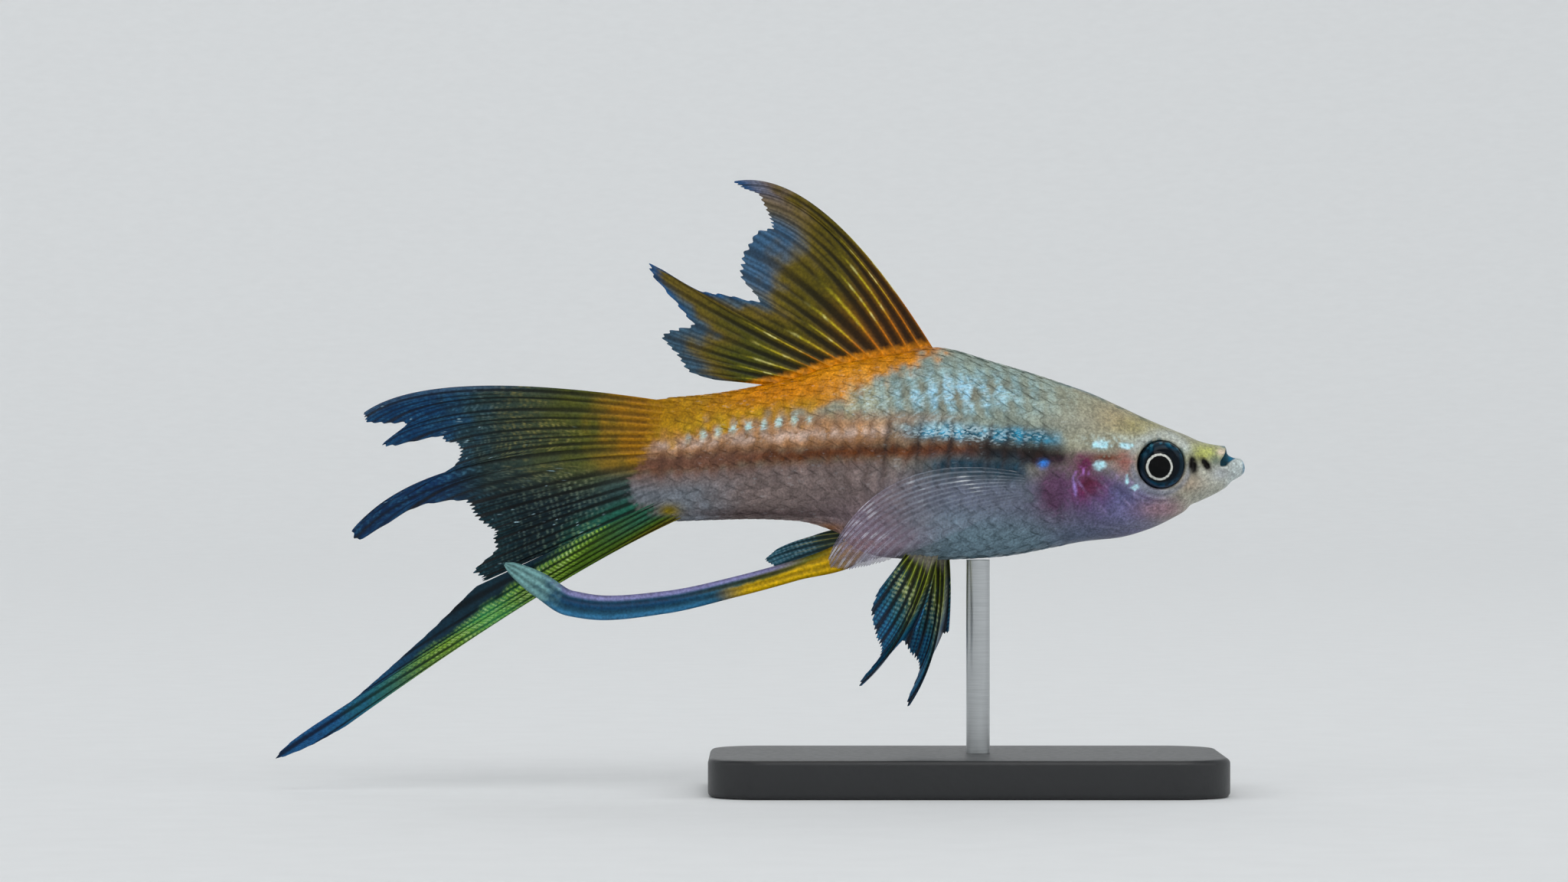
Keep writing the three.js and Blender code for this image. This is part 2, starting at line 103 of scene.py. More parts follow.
def new_material(name):
    """An empty material, and its tree."""
    material = bpy.data.materials.new(name)
    material.use_nodes = True
    material.node_tree.nodes.clear()
    return material, material.node_tree


def surface(tree, settings, links):
    """A principled shader with its settings and links, joined to the material's output."""
    shader = add_node(tree, "ShaderNodeBsdfPrincipled", settings, links)
    add_node(tree, "ShaderNodeOutputMaterial", links=[("Surface", shader.outputs[0])])


def noise(tree, scale, detail, where=None):
    """Cloudy noise, of the given scale to the metre where it follows the piece's own places."""
    links = [] if where is None else [("Vector", where)]
    return add_node(tree, "ShaderNodeTexNoise", [("Scale", scale), ("Detail", detail)], links).outputs[0]


def blend(tree, share, low, high):
    """A mix of two hex colours by a share from 0 to 1."""
    settings = [("data_type", "RGBA"), (6, (*linear(low), 1)), (7, (*linear(high), 1))]
    return add_node(tree, "ShaderNodeMix", settings, [(0, share)]).outputs[2]


def grid_faces(rows, columns, wrap=False, turned=False):
    """Four-sided faces of a grid of points stored row by row. wrap joins the last column to the first."""
    row = np.arange(rows - 1)[:, None]
    column = np.arange(columns if wrap else columns - 1)[None, :]
    beside = (column + 1) % columns
    corners = [row * columns + column, row * columns + beside]
    corners += [(row + 1) * columns + beside, (row + 1) * columns + column]
    faces = np.stack(corners, axis=-1).reshape(-1, 4)
    return faces[:, ::-1] if turned else faces


def new_piece(name, points, faces, material, unwrap=None, **attributes):
    """A smooth mesh object from arrays: points, four-sided faces, an unwrap and named point attributes."""
    mesh = bpy.data.meshes.new(name)
    points = np.asarray(points, dtype=np.float32).reshape(-1, 3)
    faces = np.asarray(faces, dtype=np.int32)
    mesh.vertices.add(len(points))
    mesh.vertices.foreach_set("co", points.ravel())
    mesh.loops.add(faces.size)
    mesh.loops.foreach_set("vertex_index", faces.ravel())
    mesh.polygons.add(len(faces))
    mesh.polygons.foreach_set("loop_start", np.arange(0, faces.size, 4, dtype=np.int32))
    mesh.polygons.foreach_set("use_smooth", np.ones(len(faces), dtype=bool))
    mesh.update(calc_edges=True)
    for title, values in attributes.items():
        values = np.asarray(values, dtype=np.float32)
        if values.ndim == 2:
            values = np.column_stack([values, np.ones(len(values), dtype=np.float32)])
            mesh.attributes.new(title, "FLOAT_COLOR", "POINT").data.foreach_set("color", values.ravel())
        else:
            mesh.attributes.new(title, "FLOAT", "POINT").data.foreach_set("value", values)
    if unwrap is not None:
        layer = mesh.uv_layers.new(name="OFBake")
        spread = np.asarray(unwrap, dtype=np.float32).reshape(-1, 2)[faces.ravel()]
        layer.data.foreach_set("uv", spread.ravel())
    mesh.validate()
    mesh.materials.append(material)
    piece = bpy.data.objects.new(name, mesh)
    bpy.context.scene.collection.objects.link(piece)
    return piece


def revolved(radius, height, steps):
    """Rings of points about the upright axis, one for each radius and height in millimetres."""
    turn = 2 * np.pi * np.arange(steps) / steps
    x = radius[:, None] * np.cos(turn)
    y = radius[:, None] * np.sin(turn)
    z = np.broadcast_to(height[:, None], x.shape)
    return np.stack([x, y, z], axis=-1) * MM


paper, tree = new_material("matt_studio_paper")
# Uncoated paper: no gloss, and a tooth too fine to see at this distance.
shade = blend(tree, noise(tree, 900.0, 3.0), "#e6e8e9", "#eceeef")
surface(tree, [("Roughness", 0.92)], [("Base Color", shade)])

bend = np.linspace(0, np.pi / 2, 40)
flat = np.concatenate([[0.01], np.linspace(60, PAPER_FLAT, 12)])
wall = PAPER_FLAT + PAPER_SWEEP
paper_radius = np.concatenate([flat, PAPER_FLAT + PAPER_SWEEP * np.sin(bend), [wall]])
paper_rise = np.concatenate([0 * flat, PAPER_SWEEP * (1 - np.cos(bend)), [PAPER_HEIGHT]])
backdrop = new_piece(
    "backdrop",
    revolved(paper_radius, paper_rise, PAPER_SIDES),
    grid_faces(len(paper_radius), PAPER_SIDES, wrap=True, turned=True),
    paper,
)


def soft_box(name, position, size, power, tint="#ffffff"):
    """A square area light that faces the fish and is itself unseen."""
    data = bpy.data.lights.new(name, "AREA")
    data.size = size * MM
    data.energy = power
    data.color = linear(tint)
    lamp = bpy.data.objects.new(name, data)
    lamp.location = np.array(position) * MM
    aim = np.array([0, 0, axis_height]) - np.array(position)
    lamp.rotation_euler = (
        np.arctan2(np.hypot(aim[0], aim[1]), -aim[2]),
        0,
        np.arctan2(aim[1], aim[0]) - np.pi / 2,
    )
    lamp.visible_camera = False
    bpy.context.scene.collection.objects.link(lamp)


soft_box("key_light", (500, -1500, 1900), 1500, 17)
soft_box("left_fill", (-1800, -900, 900), 1300, 6)
soft_box("right_fill", (1800, -700, 900), 1300, 5)
soft_box("top_light", (0, 100, 2500), 1800, 9)
soft_box("back_light", (-300, 1700, 1700), 1300, 7)
world = bpy.data.worlds.new("room")
world.use_nodes = True
world.node_tree.nodes["Background"].inputs["Color"].default_value = (*linear("#f2f5f8"), 1)
world.node_tree.nodes["Background"].inputs["Strength"].default_value = 0.22
bpy.context.scene.world = world
bpy.context.scene.view_settings.view_transform = "Standard"

# Body skin
# One cast skin over head, trunk and tail stalk, with the mouth, eye sockets, nostrils and gill covers
# modelled in it. It is airbrushed in thin coats and lacquered, and covers the joints of the flesh.
# Rows: back, back line, belly line, half width, and how the section closes above and below its widest
# line, where under 1 is boxy, 1 is round and over 1 is keeled.
BODY = [
    [0, -0.8, -0.85, 0.05, 0.9, 0.9],
    [0.1, -0.4, -1.25, 0.66, 0.9, 0.9],
    [0.3, -0.05, -1.5, 1.0, 0.85, 0.9],
    [0.6, 0.12, -1.7, 1.3, 0.8, 0.9],
    [1, 0.14, -1.93, 1.5, 0.75, 0.88],
    [1.25, 0.22, -2.08, 1.62, 0.75, 0.88],
    [1.55, 0.4, -2.4, 1.78, 0.75, 0.86],
    [1.7, 0.6, -2.56, 1.85, 0.75, 0.85],
    [1.8, 1.1, -2.66, 1.9, 0.75, 0.85],
    [1.9, 1.24, -2.72, 1.93, 0.75, 0.85],
    [2.4, 1.3, -3.03, 2.08, 0.75, 0.85],
    [3.3, 1.45, -3.5, 2.4, 0.75, 0.85],
    [4.3, 1.72, -3.95, 2.68, 0.76, 0.85],
    [5.1, 2.07, -4.3, 2.87, 0.78, 0.85],
    [5.6, 2.3, -4.82, 2.99, 0.79, 0.85],
    [6.3, 2.58, -5.26, 3.14, 0.8, 0.85],
    [9, 3.7, -6.55, 3.7, 0.85, 0.85],
    [11.9, 5.05, -7.35, 4.15, 0.9, 0.85],
    [14.7, 6.3, -7.65, 4.45, 1, 0.85],
    [17.6, 7.35, -8.25, 4.6, 1.05, 0.85],
    [23.3, 9.1, -9.2, 4.75, 1.15, 0.9],
    [29, 10.5, -9.45, 4.6, 1.2, 0.95],
    [33.3, 9.87, -9.25, 4.15, 1.15, 1],
    [36.2, 9.35, -8.5, 3.8, 1.1, 1.05],
    [38.4, 8.9, -6.75, 3.5, 1.05, 1.05],
    [42, 7.75, -5.8, 3, 1, 1],
    [46, 6.8, -5.65, 2.35, 1, 1],
    [50, 6.15, -5.75, 1.65, 1, 1],
    [53, 5.88, -5.85, 1.0, 1, 1],
    [54.3, 5.78, -5.9, 0.62, 1, 1],
    [55, 5.7, -5.9, 0.28, 1, 1],
]
WIDEST_LINE = 0.52
BODY_LENGTH = 55
PAINT_END = 54.9
SKIN_SIDES = 300
SCALE_DEPTH = 0.13
EYE_BACK = 8.07
GILL_CENTRE = (5.9, -1.2)
GILL_RADIUS = 10.5
# Each nostril: back, height, half its length and height, and how far its lower end leans forward.
NOSTRILS = [(5.05, -0.55, 0.33, 0.68, 0.1), (3.85, -0.45, 0.3, 0.48, 0.5)]


def smoothly(rows, at):
    """A table's columns at positions in its first one, on cubic curves that never overshoot a row.

    The slope at a row is the harmonic mean of the rises on both sides, or level where they differ in sign.
    """
    table = np.array(rows, dtype=float)
    x, y = table[:, 0], table[:, 1:]
    step = np.diff(x)[:, None]
    rise = np.diff(y, axis=0) / step
    product = rise[:-1] * rise[1:]
    both = np.where(product > 0, rise[:-1] + rise[1:], 1)
    slope = np.vstack([rise[:1], np.where(product > 0, 2 * product / both, 0), rise[-1:]])
    at = np.clip(at, x[0], x[-1])
    k = np.clip(np.searchsorted(x, at) - 1, 0, len(step) - 1)
    share = ((at - x[k]) / step[k, 0])[..., None]
    leave, arrive = slope[k] * step[k], slope[k + 1] * step[k]
    change = y[k + 1] - y[k]
    curve = leave + share * (3 * change - 2 * leave - arrive + share * (leave + arrive - 2 * change))
    return y[k] + share * curve


def ramp(value, low, high):
    """0 below low, 1 above high, and a smooth S between them; low may be the greater."""
    share = np.clip((value - low) / (high - low), 0, 1)
    return share * share * (3 - 2 * share)


def bell(value, width, power=2):
    """1 at a value of 0, falling to 1/e at the width on both sides; flatter on top for a higher power."""
    return np.exp(-((np.abs(value) / width) ** power))


def coats(base, *layers):
    """Coats, each a colour and a mask from 0 to 1, laid in turn over a base. A colour is hex or an array."""
    colour = linear(base) if isinstance(base, str) else base
    for coat, mask in layers:
        mask = np.clip(mask, 0, 1)[..., None]
        colour = colour * (1 - mask) + (linear(coat) if isinstance(coat, str) else coat) * mask
    return colour


def spot(back, height, centre_back, centre_height, reach_back, reach_height):
    """1 at a centre, fading as a bell with the given reaches along and across the body."""
    along, up = (back - centre_back) / reach_back, (height - centre_height) / reach_height
    return np.exp(-(along**2) - up**2)


def grain(points, size, seed):
    """Cloudy noise from 0 to 1: random values on a lattice of the given size in mm, smoothly joined."""
    cell = np.asarray(points) / MM / size + 1000 * np.sin(seed * np.array([1.0, 2.3, 4.1]))
    low = np.floor(cell).astype(np.int64)
    share = cell - low
    share = share * share * (3 - 2 * share)
    total = np.zeros(cell.shape[:-1])
    for corner in np.ndindex(2, 2, 2):
        key = low + corner
        mix = key[..., 0] * 73856093 ^ key[..., 1] * 19349663 ^ key[..., 2] * 83492791
        value = ((mix * 2654435761) % 4294967296) / 4294967296
        weight = np.prod(np.where(np.array(corner) == 1, share, 1 - share), axis=-1)
        total += weight * value
    return total


def body_surface(back, turn, out):
    """Height and left of body points at an angle from the back line, standing out by a distance.

    A section is an ellipse of two half heights about its widest line, with the sine of the angle raised
    to the closing power above and below, and all its radii grown by the distance.
    """
    top, bottom, half, crown, keel = np.moveaxis(smoothly(BODY, back), -1, 0)
    middle = bottom + WIDEST_LINE * (top - bottom)
    up, side = np.cos(turn), np.sin(turn)
    reach = np.where(up > 0, top - middle, middle - bottom) + out
    closing = np.abs(side) ** np.where(up > 0, crown, keel)
    return middle + reach * up, np.maximum(half + out, 0) * np.sign(side) * closing


def gill_distance(back, height):
    """How far a place lies behind the hind edge of the gill cover, which is an arc."""
    return np.hypot(back - GILL_CENTRE[0], height - GILL_CENTRE[1]) - GILL_RADIUS


def nostril(back, height, place_back, place_height, across, high, lean, size):
    """A bell on a nostril of the given half sizes times the size; its lower end leans forward by lean."""
    slanted = back + lean * (place_height - height) - place_back
    return np.exp(-((slanted / across / size) ** 2) - ((height - place_height) / high / size) ** 2)


def head_relief(back, height):
    """How far the head's skin stands out, the share of half width that it keeps, and the mouth's slit."""
    upper = np.interp(back, [1.75, 1.86, 1.95, 2.1, 2.35, 2.6], [2.0, 1.0, 0.62, 0.3, -0.05, -0.4])
    lower = np.interp(back, [0.85, 1.2, 1.6, 1.9, 2.3, 2.6], [0.1, -0.08, -0.32, -0.62, -0.66, -0.6])
    reach = ramp(back, 0.8, 1.1) * ramp(back, 2.55, 2.3)
    slit = reach * ramp(height, lower - 0.06, lower + 0.1) * ramp(height, upper + 0.08, upper - 0.1)
    lips = 0.14 * bell(height - upper - 0.3, 0.24) * ramp(back, 1.85, 2.0) * ramp(back, 3.4, 2.6)
    lips += 0.16 * bell(height - lower + 0.28, 0.24) * ramp(back, 0.5, 1.0) * ramp(back, 3.2, 2.4)
    from_eye = np.hypot(back - EYE_BACK, height + EYE_BELOW_AXIS)
    out = lips + 0.17 * bell(from_eye - 2.5, 0.24) - 1.25 * ramp(from_eye, 2.32, 2.05)
    out += 0.07 * bell(from_eye - 3.3, 0.25) * ramp(height, -1.2, -2.4)
    for shape in NOSTRILS:
        out += 0.12 * nostril(back, height, *shape, 1.8) - 0.5 * nostril(back, height, *shape, 1.05)
    behind = gill_distance(back, height)
    cover = ramp(back, 6, 9) * ramp(height, 3.2, 1.6) * ramp(height, -8.2, -6.4)
    out += cover * (0.13 * ramp(behind, -1.8, -0.35) * ramp(behind, 0.2, -0.1))
    out -= cover * 0.05 * bell(behind - 0.3, 0.25)
    inner = np.hypot(back - 6.1, height + 0.4) - 6.1
    out += 0.1 * bell(inner, 0.35) * ramp(back, 9, 11) * ramp(height, 0.6, -1)
    throat = bell(height + 6.5 - 0.12 * (back - 10), 0.16) * ramp(back, 5, 8) * ramp(back, 16, 13)
    out -= 0.14 * throat
    return out, 1 - 0.45 * slit, slit


ring_back = np.concatenate(
    [
        1.6 * np.linspace(0.004, 1, 34, endpoint=False) ** 1.4,
        np.linspace(1.6, 3.6, 34, endpoint=False),
        np.linspace(3.6, 18, 130, endpoint=False),
        np.linspace(18, BODY_LENGTH, 122),
    ]
)
skin_turn = 2 * np.pi * (np.arange(SKIN_SIDES) + 0.5) / SKIN_SIDES
skin_back, skin_angle = np.meshgrid(ring_back, skin_turn, indexing="ij")
scale_bed = -SCALE_DEPTH * ramp(skin_back, 14, 19) - 0.02
skin_height, skin_left = body_surface(skin_back, skin_angle, scale_bed)
relief, mouth_keep, mouth_slit = head_relief(skin_back, skin_height)
sideways = np.abs(np.sin(skin_angle)) ** 0.6
skin_left = (skin_left + np.sign(skin_left) * relief * sideways) * mouth_keep
skin_points = place(skin_back, skin_height, skin_left)


def pairs(first, second):
    """Two arrays, spread to one shape, as the two values of each point."""
    return np.stack(np.broadcast_arrays(first, second), axis=-1)


def capped(rings):
    """Rings of points with one more at each end, drawn together in its middle, which closes the piece."""
    ends = [np.broadcast_to(ring.mean(axis=0), ring.shape)[None] for ring in (rings[0], rings[-1])]
    return np.concatenate([ends[0], rings, ends[1]])


def held(values):
    """Values of rings with the first and the last given again, for the rings that capped adds."""
    return np.concatenate([values[:1], values, values[-1:]])


def paint_body(back, height, points):
    """The fish's colours as coats laid over each other, and how densely each place gets painted glints and
    gloss.

    Each coat is one colour and a mask from ramps and bells in side view, so both flanks are alike. Cloudy
    noise frays the masks, and noise drawn out upwards gives the streaks of the scale rows.
    """
    fine, coarse = grain(points, 0.24, 1), grain(points, 0.8, 2)
    streak = grain(points * [1, 0.4, 0.3], 0.42, 21)
    colour = np.broadcast_to(linear("#9d9c86"), (*np.shape(back), 3))
    # This value sets where pale flecks are painted in as glints, and where the lacquer is glossier.
    glint_and_gloss = np.zeros(np.shape(back))

    def coat(code, mask):
        """One more coat of a hex colour, by a mask from 0 to 1."""
        nonlocal colour
        colour = coats(colour, (code, mask))

    def at(*centre_and_reach):
        """A bell in side view: its centre, back and height, and its reach along and across the body."""
        return spot(back, height, *centre_and_reach)

    def along(low, high):
        """0 before the first place on the body, 1 behind the second, or the other way round."""
        return ramp(back, low, high)

    def dab(code, much, centre_back, centre_height, reach_back, reach_height, texture=1):
        """A coat in one bell, times its strength and a texture."""
        coat(code, much * at(centre_back, centre_height, reach_back, reach_height) * texture)

    stripe_back = [16, 19, 22, 27.6, 33.3, 44.7, 54.3]
    stripe_height = [0.1, 0.3, 0.6, 0.95, 0.86, 0.3, -0.45]
    above = height - np.interp(back, stripe_back, stripe_height)
    rough = (coarse - 0.5) * 0.9 + (streak - 0.5) * 0.7
    columns = np.cos(2 * np.pi * (back + 0.1 * height - 26.1) / 1.66)
    column_gap = ramp(-columns + 0.8 * (fine - 0.5), 0.35, 1)

    # Under coats: greenish shoulder, lilac belly, warm grey flank behind, blue-grey tail root.
    coat("#8f9a8c", along(15, 21) * ramp(above, 1.5, 3))
    coat("#6e7488", ramp(above + 0.4 * rough, -0.5, -3.2) * along(6, 15))
    coat("#738c9a", ramp(above, -4.5, -8) * along(15, 20) * along(36, 31))
    coat("#7b6c69", ramp(above, -0.3, -1.2) * ramp(back + 2 * rough, 27, 36))
    coat("#6b737c", ramp(above, -1, -3) * ramp(back + 2 * rough, 46, 52) * 0.9)
    dab("#7c6a72", 0.7, 36, -6, 4.5, 2.5)
    dab("#4a3c3e", 0.75, 45, -5.0, 8, 0.42)
    coat("#94807e", 0.9 * ramp(above, -5.75, -6.15) * along(38, 41) * along(54, 50))
    # The pale salmon band over the stripe, behind the cyan one.
    coat("#b3855c", along(28, 36) * ramp(above, 0.2, 0.9) * ramp(above, 4.4, 2.8))
    coat("#8d6d58", 0.6 * column_gap * along(28, 34) * ramp(above, 0.4, 1) * ramp(above, 4.2, 3))
    coat("#cdb3a4", 0.9 * along(27, 34) * bell(above - 1.75, 0.5) * ramp(streak + 0.3 * fine, 0.4, 0.8))
    coat("#9a7a62", 0.8 * along(24, 30) * bell(height - 3.9, 0.6) * along(42, 36))
    # The orange back from the dorsal fin to the tail, frayed downwards by the scale rows.
    edge_back = [28.2, 31.9, 33.9, 36.7, 40.1, 44.7, 50.4, 55]
    edge_height = [9.9, 8.2, 7.4, 5.5, 4.3, 3.7, 2.8, 1.5]
    edge = np.interp(back, edge_back, edge_height)
    orange = ramp(height - edge + 2.0 * rough, -0.8, 1.1) * ramp(back + rough, 27.2, 29.0)
    coat("#cb7c02", orange)
    coat("#e29405", orange * 0.8 * at(35.5, 8.2, 6.5, 1.5) * (0.5 + streak))
    coat("#a57c06", orange * 0.85 * ramp(back + 2 * rough, 44, 52))
    coat("#b9921a", orange * 0.8 * ramp(height - edge, 2.4, 0.3) * along(37, 41) * (0.4 + streak))
    coat("#8f5c04", 0.4 * orange * column_gap)
    bars = np.cos(2 * np.pi * (back - 0.16 * height - 25.1) / 1.6)
    bars = bars + 0.3 * np.cos(2 * np.pi * (height + 0.35 * back) / 2.7)
    patch = ramp(bars + 2.0 * (streak - 0.5) + 1.4 * (coarse - 0.5), -1.0, 0.5)
    cream = at(35.0, 5.8, 2.6, 1.5) * ramp(streak * 0.6 + fine * 0.6, 0.4, 0.75)
    cream += 0.7 * at(37.6, 4.3, 1.6, 0.5) * patch
    coat("#b4ab82", 1.1 * cream)
    glint_and_gloss += 0.35 * cream
    # Light blue patches in upright bars, one to each row of scales, brightest at the shoulder.
    field = at(27.2, 6.1, 7.2, 2.3) * ramp(height, 3.3, 4.3) * (1 - 0.9 * orange)
    coat("#7f9a96", 0.85 * field)
    coat("#86806c", 0.8 * (1 - patch) * field * ramp(height, 8.5, 7))
    coat("#8db6c2", 1.1 * patch * field * ramp(fine, 0.1, 0.7))
    coat("#a4d6f0", 0.7 * ramp(patch * field * (0.4 + fine), 0.5, 1))
    glint_and_gloss += 0.5 * patch * field
    # The cyan band right over the stripe, deep blue below and flecked with white above.
    cyan_line = np.interp(back, [10, 16.2, 21, 27.6, 33.3, 38], [1.1, 1.7, 2.15, 2.6, 2.7, 2.5])
    cyan = bell(height - cyan_line + 0.4 * rough, 0.75, 2.4) * along(16.2, 19.5)
    cyan = cyan * ramp(back + 1.5 * rough, 34, 29)
    coat("#1f6076", 1.1 * cyan)
    coat("#37a4cc", 0.85 * cyan * ramp(streak + 0.3 * fine, 0.5, 0.85) * along(33, 29))
    coat("#c3e3e6", 0.85 * cyan * ramp(height - cyan_line, -0.1, 0.5) * along(22, 27) * ramp(fine, 0.3, 0.7))
    coat("#3f5a63", 0.8 * bell(height - cyan_line + 0.85, 0.3) * along(16, 19) * along(32, 27))
    glint_and_gloss += cyan * (0.35 + 0.45 * along(20, 26))
    beads = ramp(np.cos(2 * np.pi * (back - 46.3) / 1.42), 0.0, 0.8) * (0.4 + fine)
    beads = beads * bell(height - edge + 0.45, 0.42) * along(39, 42) * along(53, 51)
    coat("#b9e2dc", beads)
    glint_and_gloss += beads
    # The dark stripe: rust in the middle, nearly black behind the head, purple-brown and notched behind.
    notch = 0.3 * along(36, 44) * columns
    stripe = bell(above + 0.06 + 0.5 * rough, 0.94 + notch * 0.6, 2.4) * along(15.4, 17.8)
    coat("#6b3812", stripe * along(21, 26))
    coat("#1d1715", 1.15 * stripe * ramp(back + 2 * rough, 27.5, 22.5))
    coat("#75503f", 0.9 * stripe * ramp(back + 2 * rough, 42, 49))
    coat("#34201a", 0.55 * stripe * ramp(fine + 0.4 * columns, 0.5, 0.9))
    coat("#1f4254", 1.25 * bell(above + 1.6, 1.1) * along(19.6, 21.5) * along(33, 27))
    bar_places = np.array([33.6, 30.6, 27.7, 24.1, 22.5, 20.8])
    nearest = np.min(np.abs(back[..., None] + 0.12 * height[..., None] - bar_places - 0.1), axis=-1)
    coat("#2b211f", 0.85 * bell(nearest, 0.27) * bell(height - 1.3, 2.4, 4) * along(19.6, 21))
    coat("#5a4a46", 0.55 * column_gap * at(36, -1.2, 12, 1.6))
    coat("#93827e", 0.35 * ramp(columns, 0.3, 0.9) * at(36, -1.6, 11, 1.4))
    dab("#0c86e8", 1, 19.0, -0.45, 0.36, 0.32, (1.2 + fine))
    # The gill region: violet and magenta with a dark red heart, and a dusky patch behind it.
    fray = 0.75 + 0.5 * fine
    dab("#5a3c56", 1.3, 17.9, -2.9, 1.8, 2.6, ramp(height, 0.6, -0.8) * fray)
    dab("#5f4470", 1.0, 13.8, -3.3, 2.8, 2.7, fray)
    dab("#6a2850", 1.05, 15.2, -0.5, 1.25, 1.5, ramp(height, 1.1, 0.4) * fray)
    dab("#7a2a62", 0.9, 15.5, -3.0, 0.9, 1.2, fray)
    dab("#5a1026", 1.4, 14.5, -2.5, 1.15, 1.0, fray)
    dab("#6e2a4c", 0.7, 13.4, -3.2, 1.3, 1.1, ramp(coarse, 0.25, 0.6))
    broken = ramp(fine + 0.5 * coarse, 0.55, 0.9)
    rim = np.abs(gill_distance(back, height) + 0.2)
    coat("#a98fe0", 0.8 * bell(rim, 0.16) * at(16.4, -2.6, 2, 1.3) * broken)
    spoke = np.abs(back - 15.75 - 0.75 * (height + 2.1))
    coat("#b49ae0", 0.5 * bell(spoke, 0.11) * at(15.6, -2.3, 0.6, 0.55))
    dab("#b07acb", 0.8, 15.2, -1.15, 1.0, 0.4, ramp(fine, 0.5, 0.85))
    # The cheek and throat: lilac and rose, and the fold lines under the eye.
    dab("#646b9e", 0.95, 10.7, -4.3, 3.1, 2.2)
    dab("#a07c86", 0.85, 8.0, -4.6, 2.8, 1.0)
    # The lowest band of throat and chest is painted a darker lilac-blue: partly their colour, partly painted
    # shade where the body turns under.
    coat("#5c5a86", 0.75 * ramp(height + 0.28 * (back - 8), -5.0, -6.4) * at(10.5, -6.6, 3.4, 1.6))
    dab("#5a6b84", 0.6, 15.5, -7.4, 3, 1.5)
    folds = np.cos(2 * np.pi * (np.hypot(back - EYE_BACK, height + 0.2) - 3.1) / 0.55)
    coat("#5d4060", 0.75 * ramp(folds, 0.45, 1) * at(8.7, -3.4, 1.9, 0.75))
    coat("#a9a0b8", 0.4 * ramp(-folds, 0.5, 1) * at(8.7, -3.4, 1.9, 0.75))
    dab("#a0645c", 1.0, 11.4, -0.15, 0.95, 1.1, fray)
    dab("#6a3c2c", 1.1, 13.2, 0.15, 1.5, 0.4, ramp(fine, 0.1, 0.5))
    over_strokes, down_strokes = (back - height) / 1.4, (back + height) / 5.6
    stroke_places = np.stack([over_strokes, down_strokes, 0 * over_strokes], axis=-1) * MM
    strokes = grain(stroke_places, 0.34, 31)
    cheek = at(11.2, -3.4, 2.5, 2.2)
    coat("#a596bd", 0.6 * ramp(strokes, 0.62, 0.9) * cheek)
    coat("#453f66", 0.5 * ramp(strokes, 0.4, 0.15) * cheek)
    # Snout and jaws: pale, with a yellow-green flush before the eye and the pale bud of the lower jaw.
    coat("#b6b8ac", 0.95 * along(7, 3.5) * ramp(height, 0.6, -0.8))
    dab("#b3b868", 1.1, 4.0, 0.6, 1.5, 0.75, fray)
    coat("#bcc6c5", along(2.4, 1.1) * ramp(height, 0.7, 0.2))
    coat("#3a7fa4", 0.8 * along(0.45, 0.05))
    dab("#52685a", 0.75, 2.9, -0.1, 0.5, 0.6, fray)
    dab("#bcc2c6", 0.8, 2.4, -1.3, 0.9, 0.7)
    dab("#dccbb6", 1.15, 2.3, 0.66, 0.4, 0.3)
    dab("#2b6880", 0.8, 1.95, 1.25, 0.35, 0.2)
    dab("#b08d74", 0.45, 5.4, -2.2, 1.6, 0.9)
    # Pale skin round the eye, fraying into it as teal lashes above, and lilac below.
    from_eye = np.hypot(back - EYE_BACK, height + EYE_BELOW_AXIS)
    coat("#b9c2c0", 0.95 * bell(from_eye - 2.8, 0.5) * ramp(height, -0.4, 1.4) * (0.6 + 0.5 * streak))
    coat("#8b93a0", 0.6 * bell(from_eye - 2.65, 0.3) * ramp(height, 0.4, -1))
    coat("#2a5563", 0.75 * ramp(streak, 0.35, 0.65) * bell(from_eye - 2.3, 0.2) * ramp(height, -0.2, 0.9))
    # The socket's wall at the eye's edge is painted nearly black, as painted shade between eye and skin.
    coat("#0d2732", ramp(from_eye, 2.25, 2.13))
    # Cyan-white flashes behind the eye, and the white flush over them.
    flashes = at(13.7, 1.3, 0.95, 0.45) + at(11.3, 1.25, 0.75, 0.33)
    flashes += at(13.8, -0.6, 0.65, 0.5) + at(11.25, -1.85, 0.2, 0.45)
    flashes += 0.75 * at(10.5, -2.6, 0.45, 0.34)
    flashes = ramp(flashes * (0.5 + fine), 0.2, 0.85)
    dab("#b7d2d4", 0.6, 13, 1.9, 2.4, 0.45, ramp(fine, 0.3, 0.7))
    coat("#b5e6f2", 1.1 * flashes)
    glint_and_gloss += 0.8 * flashes
    # Crown and nape: olive, yellower over the eye, with dusky flecks along the ridge.
    dab("#a59c62", 0.65, 10.4, 3.2, 2.4, 0.9, fray)
    dab("#a8926c", 0.5, 12.6, 3.9, 2.2, 1.4, fray)
    dab("#8d8f84", 0.5, 16.5, 3.4, 3, 1.1)
    ridge = smoothly(BODY, back)[..., 0] - height
    coat("#35504a", 0.7 * ramp(ridge, 0.55, 0.1) * ramp(coarse, 0.4, 0.65) * along(8, 10) * along(30, 26))
    coat("#2f5f7a", 0.7 * ramp(ridge, 0.3, 0.05) * at(15.5, 6.5, 2, 3))
    coat("#c0c3b6", 0.5 * ramp(ridge, 1.6, 0.9) * ramp(ridge, 0.4, 0.8) * at(7, 2.6, 2.4, 1.6))
    # The yellow touch at the root of the sword, and the nostrils, their pits painted nearly black as painted
    # shade.
    dab("#7d6c14", 1.1, 53.7, -4.8, 1.0, 0.6)
    dab("#a5691a", 0.85, 36.5, -8.1, 2.6, 0.75)
    dab("#b8752a", 0.6, 39.2, -6.4, 1.6, 0.4)
    for shape in NOSTRILS:
        coat("#55451f", 0.6 * nostril(back, height, *shape, 1.35))
